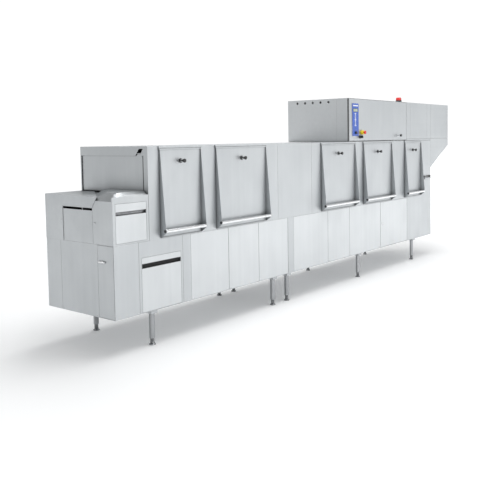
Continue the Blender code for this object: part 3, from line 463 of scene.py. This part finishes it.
def seam_shadow_strips():
    """Dark strips that fill the shallow grooves between neighbouring outer sheets: painted shadow lines at
    the seams.
    """
    made = bmesh.new()
    base = (BASE_LOW + 0.0035, BASE_HIGH - 0.0035)
    hood_low, hood_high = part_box("exhaust_hood")
    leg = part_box("main_tunnel_front")[1].x + 0.0015
    ledge = TUNNEL_HIGH + 0.0235
    for x in (hood_low.x + 0.096, leg - 0.112, leg, hood_high.x - 0.055):
        front_bead(made, x, ledge + 0.0005, hood_high.z - 0.0110)
    block(made, (hood_low.x + 0.001, FRONT + BEAD_SKIN, ledge - 0.0014),
          (hood_high.x - 0.0310, FRONT + BEAD_FOOT, ledge + 0.0004), 0.0003, 1)
    front_bead(made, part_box("main_tunnel_front")[0].x + 0.5392, BASE_HIGH + 0.0055, TUNNEL_HIGH - 0.0055)
    box_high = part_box("infeed_box")[1]
    for y in (FRONT + 0.226, REAR - 0.224):
        end_bead(made, y, BASE_HIGH + 0.0055, box_high.z - 0.133)
    end_bead(made, REAR - 0.180, *base)
    drawer_low, drawer_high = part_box("strainer_drawer")
    for x in (drawer_low.x - 0.0245, drawer_high.x + 0.0215):
        front_bead(made, x, *base)
    piece("seam_shadow_strips", made, RUBBER, "machine")

    # a thin dark steel strip round the joint above the base: a painted shadow line at the joint
    joint = bmesh.new()
    low, high = BASE_HIGH - 0.0013, BASE_HIGH + 0.0013
    corner = LOADING_FACE - 0.0006
    block(joint, (corner, FRONT - 0.0004, low), (LOADING_FACE - 0.0001, REAR, high), 0.0002, 1)
    block(joint, (corner, FRONT - 0.0006, low), (box_high.x, FRONT - 0.0001, high), 0.0002, 1)
    piece("module_joint_shadow_strip", joint, SHADED_DRAWN_STEEL, "machine")


def cabinet_gasket():
    """The black edge seal between the control cabinet's end and its door, with two hinge caps."""
    low, high = CABINET
    made = bmesh.new()
    block(made, (low.x - 0.0008, FRONT + 0.0008, low.z + 0.004),
          (low.x - 0.0001, FRONT + 0.0135, high.z - 0.004), 0.0003)
    for z in (high.z - 0.030, high.z - 0.095):
        turned(made, ((0.0, 0.0060), (0.0040, 0.0056), (0.0058, 0.0040), (0.0060, 0.0008), (0.0, 0.0008)),
               Vector((low.x, FRONT + 0.0072, z)), OUT["end"], 24)
    piece("cabinet_edge_seal", made, RUBBER, "machine")


def entrance_seal():
    """The black strip that closes the gap beside the entrance flap."""
    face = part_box("loading_tunnel_front")[0].x
    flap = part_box("entrance_flap")
    made = bmesh.new()
    block(made, (face + 0.0030, FRONT + 0.0475, flap[0].z + 0.002),
          (face + 0.0055, FRONT + 0.0585, flap[1].z - 0.022), 0.0006)
    piece("entrance_side_seal", made, RUBBER, "machine")


def slot_shade_liner(node, name, drop, height, look):
    """A ribbed liner on the back of a drawer's finger slot, which starts a drop below its top; its dark tone
    is painted shade inside the slot.
    """
    low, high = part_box(node)
    top = high.z - drop
    back = FRONT + 0.0176
    made = bmesh.new()
    block(made, (low.x + 0.0045, back - 0.0012, top - height + 0.001),
          (high.x - 0.0045, back, top - 0.001), 0.0004)
    ribs = 5
    for rib in range(ribs):
        z = top - height * (rib + 0.7) / (ribs + 0.4)
        block(made, (low.x + 0.0060, back - 0.0034, z - 0.0011),
              (high.x - 0.0060, back - 0.0010, z + 0.0011), 0.0005, 1)
    piece(name, made, look, node)


seam_shadow_strips()
cabinet_gasket()
entrance_seal()
slot_shade_liner("strainer_drawer", "strainer_drawer_slot_shade_liner", 0.0455, 0.034, RUBBER)
slot_shade_liner("infeed_strainer", "infeed_strainer_slot_shade_liner", 0.0575, 0.026, SHADED_DRAWN_STEEL)


# ---------------------------------------------------------------- screws on the sheets
def panel_screws():
    """Two screws at the foot of each front seam, one on either side of it."""
    made = bmesh.new()
    height = BASE_LOW + 0.011
    seams = [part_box("base_panel_%d" % n)[side].x for n in range(1, 7) for side in (0, 1)]
    for x in seams:
        side = 1 if x in seams[0::2] else -1
        screw(made, Vector((x + side * 0.019, FRONT, height)), OUT["front"], 0.0056, 0.0028)
    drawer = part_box("strainer_drawer")
    for x in (drawer[0].x - 0.038, drawer[1].x + 0.038, drawer[1].x + 0.075):
        screw(made, Vector((x, FRONT, height)), OUT["front"])
    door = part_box("base_door")
    for x in (door[1].x + 0.024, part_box("main_base_frame")[1].x - 0.030):
        screw(made, Vector((x, FRONT, height)), OUT["front"])
    piece("front_panel_screws", made, BRIGHT["y"], "machine")


def loading_end_screws():
    """Screws of the loading end: two sockets beside the end panel and pairs at the foot of the base."""
    made = bmesh.new()
    low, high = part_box("infeed_hood")
    middle_z = (low.z + high.z) / 2
    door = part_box("end_door")
    for y in (low.y + 0.037, high.y - 0.207):
        screw(made, Vector((low.x, y, middle_z - 0.018)), OUT["end"], 0.0062, 0.0035)
    for y in (door[1].y + 0.020, REAR - 0.200, REAR - 0.160, REAR - 0.025):
        screw(made, Vector((LOADING_FACE, y, BASE_LOW + 0.011)), OUT["end"])
    piece("loading_end_screws", made, BRIGHT["y"], "machine")


def rear_screws():
    """Rows of screws that hold the rear sheets."""
    made = bmesh.new()
    pitch = 0.42
    rows = (("loading_base_frame", 0.014), ("main_base_frame", 0.014), ("loading_tunnel_shell", 0.014),
            ("main_tunnel_shell", 0.014), ("control_cabinet", 0.012), ("exhaust_hood", 0.012))
    for node, inset in rows:
        low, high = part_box(node)
        count = max(2, round((high.x - low.x) / pitch))
        for index in range(count + 1):
            x = low.x + 0.03 + (high.x - low.x - 0.06) * index / count
            for z in (low.z + inset, high.z - inset):
                past_hood = node == "exhaust_hood" and z < CABINET[0].z + 0.02
                if not past_hood:
                    screw(made, Vector((x, high.y - 0.0019, z)), OUT["rear"])
    piece("rear_sheet_screws", made, BRIGHT["y"], "machine")


panel_screws()
loading_end_screws()
rear_screws()


# ---------------------------------------------------------------- legs
RAIL_WALL = 0.0025
RAIL_DEPTH = 0.0297
LEG_RADIUS = 0.0215
THREADS = 16


def cross_rail(low, high):
    """A folded rail, open below, with rounded edges."""
    bm = bmesh.new()
    made = bmesh.ops.create_cube(bm, size=1.0)
    for vert in made["verts"]:
        vert.co = Vector((low[i] + (vert.co[i] + 0.5) * (high[i] - low[i]) for i in range(3)))
    bottom = [f for f in bm.faces if f.calc_center_median().z < low.z + 1e-5]
    bmesh.ops.delete(bm, geom=bottom, context="FACES_ONLY")
    bmesh.ops.recalc_face_normals(bm, faces=bm.faces)
    folds = [e for e in bm.edges if len(e.link_faces) == 2]
    bmesh.ops.bevel(bm, geom=folds, offset=0.003, segments=3, affect="EDGES", profile=0.5)
    bmesh.ops.solidify(bm, geom=bm.faces[:], thickness=RAIL_WALL)
    return bm


def legs(number):
    """A cross rail with bolts, two drawn tubes, and threaded feet that adjust in them."""
    node = "leg_set_%d" % number
    low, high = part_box(node)
    inset = (high.x - low.x) / 2
    rail = cross_rail(Vector((low.x, low.y, high.z - RAIL_DEPTH)), high)
    piece(node + "_rail", rail, STEEL["y"], "machine", (node,))
    under = high.z - RAIL_WALL - FLUSH
    tubes, feet, bolts = bmesh.new(), bmesh.new(), bmesh.new()
    for y in (low.y + inset, high.y - inset):
        foot = Vector(((low.x + high.x) / 2, y, 0.0))
        turned(tubes, ((0.0, under), (0.0270, under), (0.0270, under - 0.0030),
                       (LEG_RADIUS + 0.0012, under - 0.0050), (LEG_RADIUS, under - 0.0080),
                       (LEG_RADIUS, 0.0535), (LEG_RADIUS - 0.0012, 0.0520), (0.0, 0.0520)),
               foot, OUT["up"], 40)
        profile = [(0.0, 0.0), (0.0240, 0.0), (0.0260, 0.0016), (0.0258, 0.0078), (0.0230, 0.0104),
                   (0.0165, 0.0138)]
        for turn in range(THREADS):
            z = 0.0150 + 0.0340 * turn / THREADS
            profile += [(0.0152, z), (0.0165, z + 0.0010)]
        profile += [(0.0152, 0.0506), (0.0152, 0.0516), (0.0, 0.0516)]
        turned(feet, profile, foot, OUT["up"], 32)
        for x_side, outward in ((low.x, OUT["end"]), (high.x, OUT["right"])):
            turned(bolts, ((0.0, 0.0046), (0.0048, 0.0046), (0.0054, 0.0040), (0.0054, FLUSH), (0.0, FLUSH)),
                   Vector((x_side, y, high.z - 0.0150)), outward, 6)
    # tubes and feet in the darkened steel: painted shade under the machine
    piece(node + "_tubes", tubes, SHADED_DRAWN_STEEL, "machine")
    piece(node + "_feet", feet, SHADED_DRAWN_STEEL, "machine")
    piece(node + "_bolts", bolts, BRIGHT["z"], "machine")


for number in range(1, LEG_COUNT + 1):
    legs(number)


# ---------------------------------------------------------------- controls on the cabinet door
def control_strip():
    """A blank title bar, a display in its bezel and a ladder of level marks on the blue strip."""
    low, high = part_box("control_panel")
    face = low.y
    proud = 0.0007
    rungs = 11
    ladder = (low.z + 0.111, 0.131)                # lowest rung and the height of the ladder
    centre = (low.x + high.x) / 2 - 0.003
    bar = bmesh.new()
    block(bar, (low.x + 0.014, face - proud, high.z - 0.030),
          (high.x - 0.014, face + 0.0002, high.z - 0.017), 0.0003)
    for rung in range(rungs):
        z = ladder[0] + ladder[1] * rung / (rungs - 1)
        wide = 0.0150 if rung % 5 == 0 else 0.0105
        block(bar, (centre - wide, face - proud, z - 0.0036),
              (centre + wide, face + 0.0002, z + 0.0036), 0.0003)
    piece("control_panel_marks", bar, WHITE, "cabinet_door")
    bezel = bmesh.new()
    ring_frame(bezel, Vector((low.x + 0.0165, face - 0.0012, high.z - 0.0905)),
               Vector((high.x - 0.0165, face + 0.0007, high.z - 0.0535)), 0.0035)
    piece("display_bezel", bezel, BLACK, "cabinet_door")
    glass = bmesh.new()
    block(glass, (low.x + 0.0203, face - 0.0003, high.z - 0.0868),
          (high.x - 0.0203, face + 0.0007, high.z - 0.0572), 0.0004)
    piece("display_window", glass, SCREEN, "cabinet_door")
    rim = bmesh.new()
    ring_frame(rim, Vector((low.x - 0.0016, face + 0.0022, low.z - 0.0016)),
               Vector((high.x + 0.0016, FRONT - FLUSH, high.z + 0.0016)), 0.0013, edge=0.0003)
    piece("control_panel_rim", rim, BRIGHT["z"], "cabinet_door")


def program_knob():
    """A fluted selector with a white pointer line."""
    foot = front_foot("program_knob")
    skirt = 0.0155
    made = bmesh.new()
    turned(made, ((0.0, 0.0240), (0.0110, 0.0240), (0.0122, 0.0232), (0.0126, 0.0215), (0.0132, 0.0105)),
           foot, OUT["front"], 72, ribs=18, rib_depth=0.0006)
    turned(made, ((0.0, 0.0108), (skirt - 0.0006, 0.0104), (skirt, 0.0090), (skirt, 0.0068), (0.0038, 0.0066),
                  (0.0038, 0.0022), (0.0, 0.0022)), foot, OUT["front"], 48)
    piece("program_knob_body", made, BLACK, "program_knob", ("program_knob",))
    line = bmesh.new()
    block(line, (foot.x - 0.0009, FRONT - 0.0244, foot.z + 0.001),
          (foot.x + 0.0009, FRONT - 0.0238, foot.z + 0.0112), 0.0002)
    piece("program_knob_pointer", line, WHITE, "program_knob")


def emergency_stop():
    """A red mushroom button in a yellow collar."""
    foot = front_foot("estop_base")
    collar = bmesh.new()
    turned(collar, ((0.0087, 0.0300), (0.0205, 0.0300), (0.0228, 0.0288), (0.0240, 0.0262), (0.0240, 0.0040),
                    (0.0232, FLUSH), (0.0087, FLUSH), (0.0087, 0.0300)), foot, OUT["front"], 48)
    piece("estop_collar", collar, YELLOW, "cabinet_door", ("estop_base",))
    button = bmesh.new()
    turned(button, ((0.0, 0.0560), (0.0080, 0.0557), (0.0140, 0.0544), (0.0182, 0.0516), (0.0198, 0.0482),
                    (0.0200, 0.0452), (0.0190, 0.0424), (0.0150, 0.0398), (0.0095, 0.0386),
                    (0.0080, 0.0370), (0.0080, 0.0110), (0.0, 0.0110)), foot, OUT["front"], 48)
    piece("estop_mushroom", button, RED, "estop_button", ("estop_button",))


def main_switch():
    """A rotary isolator: a round base with a raised grip and a white mark."""
    foot = front_foot("main_switch")
    made = bmesh.new()
    turned(made, ((0.0, 0.0240), (0.0104, 0.0240), (0.0118, 0.0230), (0.0126, 0.0180), (0.0140, 0.0106),
                  (0.0164, 0.0096), (0.0175, 0.0080), (0.0175, 0.0006), (0.0, 0.0006)),
           foot, OUT["front"], 40)
    block(made, (foot.x - 0.0040, FRONT - 0.0400, foot.z - 0.0145),
          (foot.x + 0.0040, FRONT - 0.0100, foot.z + 0.0145), 0.0014, 3)
    piece("main_switch_grip", made, BLACK, "main_switch", ("main_switch",))
    mark = bmesh.new()
    block(mark, (foot.x - 0.0012, FRONT - 0.0404, foot.z + 0.0010),
          (foot.x + 0.0012, FRONT - 0.0396, foot.z + 0.0120), 0.0002)
    piece("main_switch_mark", mark, WHITE, "main_switch")


def cabinet_latch():
    """The cabinet's quarter-turn catch: a black grip on a bright collar, with its cam behind the door."""
    low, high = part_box("cabinet_latch")
    radius = 0.0155
    foot = Vector((low.x + radius, FRONT, high.z - radius))
    grip = bmesh.new()
    turned(grip, ((0.0, 0.0520), (0.0085, 0.0518), (0.0132, 0.0506), (0.0153, 0.0480), (radius, 0.0420),
                  (0.0150, 0.0362), (0.0110, 0.0338), (0.0088, 0.0325), (0.0, 0.0325)),
           foot, OUT["front"], 40)
    piece("cabinet_latch_grip", grip, BLACK, "cabinet_latch", ("cabinet_latch",))
    shank = bmesh.new()
    turned(shank, ((0.0, 0.0322), (0.0080, 0.0322), (0.0080, 0.0066), (0.0122, 0.0046), (0.0125, 0.0036),
                   (0.0125, 0.0006), (0.0080, 0.0006), (0.0080, -0.0310), (0.0, -0.0310)),
           foot, OUT["front"], 36)
    block(shank, (foot.x, FRONT + 0.0281, foot.z - 0.0068),
          (foot.x + 0.0505, FRONT + 0.0307, foot.z + 0.0068), 0.0005)
    piece("cabinet_latch_shank", shank, BRIGHT["y"], "cabinet_latch")


def beacon():
    """A warning light: a black foot and a ribbed red lens."""
    low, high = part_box("signal_beacon")
    foot = Vector(((low.x + high.x) / 2, (low.y + high.y) / 2, low.z))
    base = bmesh.new()
    turned(base, ((0.0, 0.0), (0.0350, 0.0), (0.0365, 0.0012), (0.0365, 0.0190), (0.0350, 0.0220),
                  (0.0335, 0.0230), (0.0335, 0.0246), (0.0, 0.0246)), foot, OUT["up"], 56)
    piece("beacon_base", base, BLACK, "machine")
    lens = bmesh.new()
    turned(lens, ((0.0, 0.0249), (0.0322, 0.0249), (0.0322, 0.0440), (0.0306, 0.0505), (0.0262, 0.0560),
                  (0.0180, 0.0594), (0.0090, 0.0603), (0.0, 0.0606)),
           foot, OUT["up"], 96, ribs=24, rib_depth=0.0007)
    piece("beacon_lens", lens, LENS, "machine", ("signal_beacon",))


def vent_collars():
    """Pressed collars around the five vent holes in the cabinet's end, and black discs in them that paint the
    shade inside the holes.
    """
    holes = 5
    pitch = 0.103
    centres = [Vector((CABINET[0].x, FRONT + 0.254 + pitch * hole, CABINET[1].z - 0.035))
               for hole in range(holes)]
    made = bmesh.new()
    for centre in centres:
        turned(made, ((0.0118, -0.0020), (0.0118, 0.0012), (0.0127, 0.0020), (0.0142, 0.0016),
                      (0.0152, 0.0002), (0.0123, 0.0002), (0.0123, -0.0020), (0.0118, -0.0020)),
               centre, OUT["end"], 36)
    piece("vent_collars", made, SHADED_DRAWN_STEEL, "machine")
    # black discs deep in the holes: painted shade inside them
    hole_shade_discs = bmesh.new()
    for centre in centres:
        turned(hole_shade_discs, ((0.0, -0.0042), (0.0116, -0.0042), (0.0116, -0.0032), (0.0104, -0.0030),
                         (0.0096, -0.0036), (0.0, -0.0036)), centre, OUT["end"], 32)
    piece("vent_hole_shade_discs", hole_shade_discs, RUBBER, "machine")


control_strip()
program_knob()
emergency_stop()
main_switch()
cabinet_latch()
beacon()
vent_collars()


# ---------------------------------------------------------------- latches and the exit lever
def end_latch():
    """A bright two-boss lever on the end door, with its cam inside."""
    low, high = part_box("end_door_latch")
    hub = Vector((LOADING_FACE, (low.y + high.y) / 2, high.z - 0.008))
    made = bmesh.new()
    turned(made, ((0.0, 0.0125), (0.0045, 0.0125), (0.0072, 0.0112), (0.0090, 0.0080), (0.0105, 0.0036),
                  (0.0110, 0.0028), (0.0110, 0.0006), (0.0040, 0.0006), (0.0040, -0.0215), (0.0, -0.0215)),
           hub, OUT["end"], 36)
    block(made, (hub.x - 0.0104, hub.y - 0.0350, hub.z - 0.0050),
          (hub.x - 0.0060, hub.y + 0.0350, hub.z + 0.0050), 0.0016, 3)
    for offset in (-0.029, 0.029):
        turned(made, ((0.0, 0.0124), (0.0040, 0.0122), (0.0064, 0.0108), (0.0075, 0.0084),
                      (0.0075, 0.0052), (0.0, 0.0046)), hub + Vector((0, offset, 0)), OUT["end"], 28)
    block(made, (hub.x + 0.0190, hub.y - 0.0078, low.z),
          (hub.x + 0.0213, hub.y + 0.0078, hub.z + 0.0078), 0.0004)
    piece("end_latch_lever", made, BRIGHT["y"], "end_door_latch", ("end_door_latch",))


def base_lock():
    """A round quarter-turn lock with a key slot, and its cam behind the door."""
    low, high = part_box("base_door_lock")
    hub = Vector(((low.x + high.x) / 2, FRONT, high.z - 0.011))
    made = bmesh.new()
    turned(made, ((0.0046, 0.0022), (0.0050, 0.0034), (0.0078, 0.0040), (0.0100, 0.0036), (0.0110, 0.0022),
                  (0.0110, -0.0220), (0.0, -0.0220), (0.0, -0.0200), (0.0046, -0.0200), (0.0046, 0.0022)),
           hub, OUT["front"], 36)
    block(made, (hub.x - 0.0078, FRONT + 0.0190, low.z),
          (hub.x + 0.0078, FRONT + 0.0217, hub.z + 0.0078), 0.0004)
    piece("base_lock_barrel", made, BRIGHT["y"], "base_door_lock", ("base_door_lock",))
    key = bmesh.new()
    turned(key, ((0.0, 0.0006), (0.0030, 0.0006), (0.0044, 0.0010), (0.0044, -0.0190), (0.0, -0.0190)),
           hub, OUT["front"], 24)
    block(key, (hub.x - 0.0010, FRONT - 0.0012, hub.z - 0.0034),
          (hub.x + 0.0010, FRONT + 0.0004, hub.z + 0.0034), 0.0002)
    piece("base_lock_key_slot", key, BLACK, "base_door_lock")


def exit_lever():
    """The exit lever: a black grip on a rod from a round pivot."""
    low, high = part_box("exit_lever")
    height = (low.z + high.z) / 2
    pivot = Vector((low.x + 0.012, FRONT, height))
    boss = bmesh.new()
    turned(boss, ((0.0, 0.0210), (0.0088, 0.0210), (0.0110, 0.0198), (0.0120, 0.0176), (0.0120, 0.0006),
                  (0.0040, 0.0006), (0.0040, -0.0060), (0.0090, -0.0060), (0.0090, -0.0090), (0.0, -0.0090)),
           pivot, OUT["front"], 36)
    grip_start = high.x - 0.0280
    rod = grip_start - pivot.x - FLUSH
    axis = pivot.y - 0.0130
    turned(boss, ((0.0, 0.0), (0.0045, 0.0), (0.0045, rod), (0.0, rod)),
           Vector((pivot.x, axis, height)), OUT["right"], 24)
    piece("exit_lever_rod", boss, BLACK, "exit_lever", ("exit_lever",))
    grip = bmesh.new()
    turned(grip, ((0.0, 0.0), (0.0085, 0.0002), (0.0104, 0.0022), (0.0122, 0.0088), (0.0125, 0.0170),
                  (0.0112, 0.0238), (0.0070, 0.0274), (0.0, 0.0280)),
           Vector((grip_start, axis, height)), OUT["right"], 36)
    piece("exit_lever_grip", grip, BLACK, "exit_lever")


end_latch()
base_lock()
exit_lever()


# ---------------------------------------------------------------- inside the tunnel
TUBES = 3
NOZZLES_A_TUBE = 8
NOZZLE_PITCH = 0.075
TUBE_RADIUS = 0.012


def nozzles(node):
    """Small spray nozzles: those of the upper tubes point down, those of the lower tubes up."""
    low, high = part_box(node)
    ends = 0.03                                    # the headers run past the outer tubes by this much
    upper = TUNNEL_HIGH - 0.045 - TUBE_RADIUS
    lower = high.z - 0.452 + TUBE_RADIUS
    made = bmesh.new()
    for tube in range(TUBES):
        x = low.x + ends + (high.x - low.x - 2 * ends) * tube / (TUBES - 1)
        for index in range(NOZZLES_A_TUBE):
            y = low.y + 0.060 + NOZZLE_PITCH * index
            for z, side in ((upper, OUT["down"]), (lower, OUT["up"])):
                turned(made, ((0.0, 0.0030), (0.0022, 0.0030), (0.0026, 0.0062), (0.0040, 0.0060),
                              (0.0062, 0.0022), (0.0066, -0.0012), (0.0, -0.0012)),
                       Vector((x, y, z)), side, 12)
    piece(node + "_nozzles", made, WHITE, "machine")


nozzles("wash_arms")
nozzles("rinse_arms")


# ---------------------------------------------------------------- studio
def camera():
    """The photograph's view: where the camera stands, and its axes to the right and upwards."""
    made = bpy.data.objects.new("camera", bpy.data.cameras.new("camera"))
    bpy.context.scene.collection.objects.link(made)
    place = Vector((-5.81325, -4.14950, 1.54100))
    right = Vector((0.60485, -0.79623, -0.01324))
    above = Vector((0.05841, 0.02778, 0.99791))
    back = right.cross(above)
    made.matrix_world = Matrix(((right.x, above.x, back.x, place.x),
                                (right.y, above.y, back.y, place.y),
                                (right.z, above.z, back.z, place.z),
                                (0, 0, 0, 1)))
    made.data.sensor_width = 36.0
    made.data.lens = 48.46
    made.data.shift_x = -0.0688
    made.data.shift_y = -0.1368
    made.data.clip_end = 200.0
    bpy.context.scene.camera = made


def soft_box(place, target, size, power):
    data = bpy.data.lights.new("soft_box", "AREA")
    data.shape = "RECTANGLE"
    data.size, data.size_y = size
    data.energy = power
    made = bpy.data.objects.new("soft_box", data)
    bpy.context.scene.collection.objects.link(made)
    made.location = place
    made.rotation_euler = (Vector(target) - Vector(place)).to_track_quat("-Z", "Y").to_euler()


FLOOR_RADIUS = 60.0
FLOOR_LIFT = 0.14               # the floor's own glow, which keeps its shadow soft
SWEEP = (3.2, 8.0, 0.60)        # it glows more from here to here, up to this
AHEAD = (0.60, -0.80, 0.0)      # and more again towards the front, at the unloading end
AHEAD_GLOW = (0.8, 4.5, 0.50)
DIM_SIDE = 0.54                 # brightness of the surround behind the loading end
BRIGHT_SIDE = 1.00              # and in front of the exit end
BRIGHT_WAY = (0.74, -0.67, 0.0)
ZENITH = 0.45                   # share of it that is left overhead
SEEN = 1.05                     # brightness of the plain background that the camera sees


class Tree:
    """Short ways to add nodes to a node tree."""

    def __init__(self, tree):
        self.tree = tree

    def node(self, kind, inputs=(), **settings):
        """A node whose inputs are fed by other sockets, in the order given."""
        made = self.tree.nodes.new(kind)
        for key, value in settings.items():
            setattr(made, key, value)
        for source, socket in zip(inputs, made.inputs):
            self.tree.links.new(source, socket)
        return made

    def ramp(self, source, start, end, low, high, curve="LINEAR"):
        made = self.node("ShaderNodeMapRange", (source,), interpolation_type=curve)
        for key, value in zip(("From Min", "From Max", "To Min", "To Max"), (start, end, low, high)):
            made.inputs[key].default_value = value
        return made.outputs["Result"]

    def towards(self, vector, way):
        """How far a vector reaches along a direction."""
        made = self.node("ShaderNodeVectorMath", (vector,), operation="DOT_PRODUCT")
        made.inputs[1].default_value = way
        return made.outputs["Value"]


def pale_sweep():
    """A wide pale floor that glows far from the machine like a white sweep, so that no horizon shows."""
    ground = bmesh.new()
    bmesh.ops.create_circle(ground, cap_ends=True, segments=96, radius=FLOOR_RADIUS)
    mesh = bpy.data.meshes.new("floor")
    ground.to_mesh(mesh)
    ground.free()
    floor = bpy.data.objects.new("floor", mesh)
    bpy.context.scene.collection.objects.link(floor)

    pale = bpy.data.materials.new("pale_floor")
    pale.use_nodes = True
    mesh.materials.append(pale)
    shader = pale.node_tree.nodes["Principled BSDF"]
    shader.inputs["Base Color"].default_value = (0.93, 0.935, 0.94, 1.0)
    shader.inputs["Roughness"].default_value = 0.85
    shader.inputs["Specular IOR Level"].default_value = 0.15
    shader.inputs["Emission Color"].default_value = (1, 1, 1, 1)
    tree = Tree(pale.node_tree)
    coords = tree.node("ShaderNodeTexCoord").outputs["Object"]
    far = tree.node("ShaderNodeVectorMath", (coords,), operation="LENGTH").outputs["Value"]
    start, end, most = SWEEP
    sweep = tree.ramp(far, start, end, FLOOR_LIFT, most, "SMOOTHSTEP")
    start, end, most = AHEAD_GLOW
    ahead = tree.ramp(tree.towards(coords, AHEAD), start, end, 0.0, most, "SMOOTHSTEP")
    total = tree.node("ShaderNodeMath", (sweep, ahead), operation="ADD")
    pale.node_tree.links.new(total.outputs[0], shader.inputs["Emission Strength"])


def surround():
    """A pale surround, dimmer on the loading side and overhead, behind a plain white background."""
    world = bpy.data.worlds.new("surround")
    bpy.context.scene.world = world
    world.use_nodes = True
    world.node_tree.nodes.clear()
    tree = Tree(world.node_tree)
    coords = tree.node("ShaderNodeTexCoord").outputs["Generated"]
    around = tree.ramp(tree.towards(coords, BRIGHT_WAY), -1.0, 1.0, DIM_SIDE, BRIGHT_SIDE)
    split = tree.node("ShaderNodeSeparateXYZ", (coords,))
    height = tree.ramp(split.outputs["Z"], 0.0, 1.0, 1.0, ZENITH)
    level = tree.node("ShaderNodeMath", (around, height), operation="MULTIPLY")
    light = tree.node("ShaderNodeBackground")
    light.inputs["Color"].default_value = (0.985, 0.995, 1.0, 1.0)
    world.node_tree.links.new(level.outputs[0], light.inputs["Strength"])
    seen = tree.node("ShaderNodeBackground")
    seen.inputs["Color"].default_value = (1, 1, 1, 1)
    seen.inputs["Strength"].default_value = SEEN
    path = tree.node("ShaderNodeLightPath").outputs["Is Camera Ray"]
    blend = tree.node("ShaderNodeMixShader", (path, light.outputs[0], seen.outputs[0]))
    tree.node("ShaderNodeOutputWorld", (blend.outputs[0],))


camera()
pale_sweep()
surround()
soft_box((0.4, -0.25, 6.5), (0.2, -0.1, 0.0), (8.0, 4.5), 410.0)
bpy.context.scene.view_settings.view_transform = "Standard"
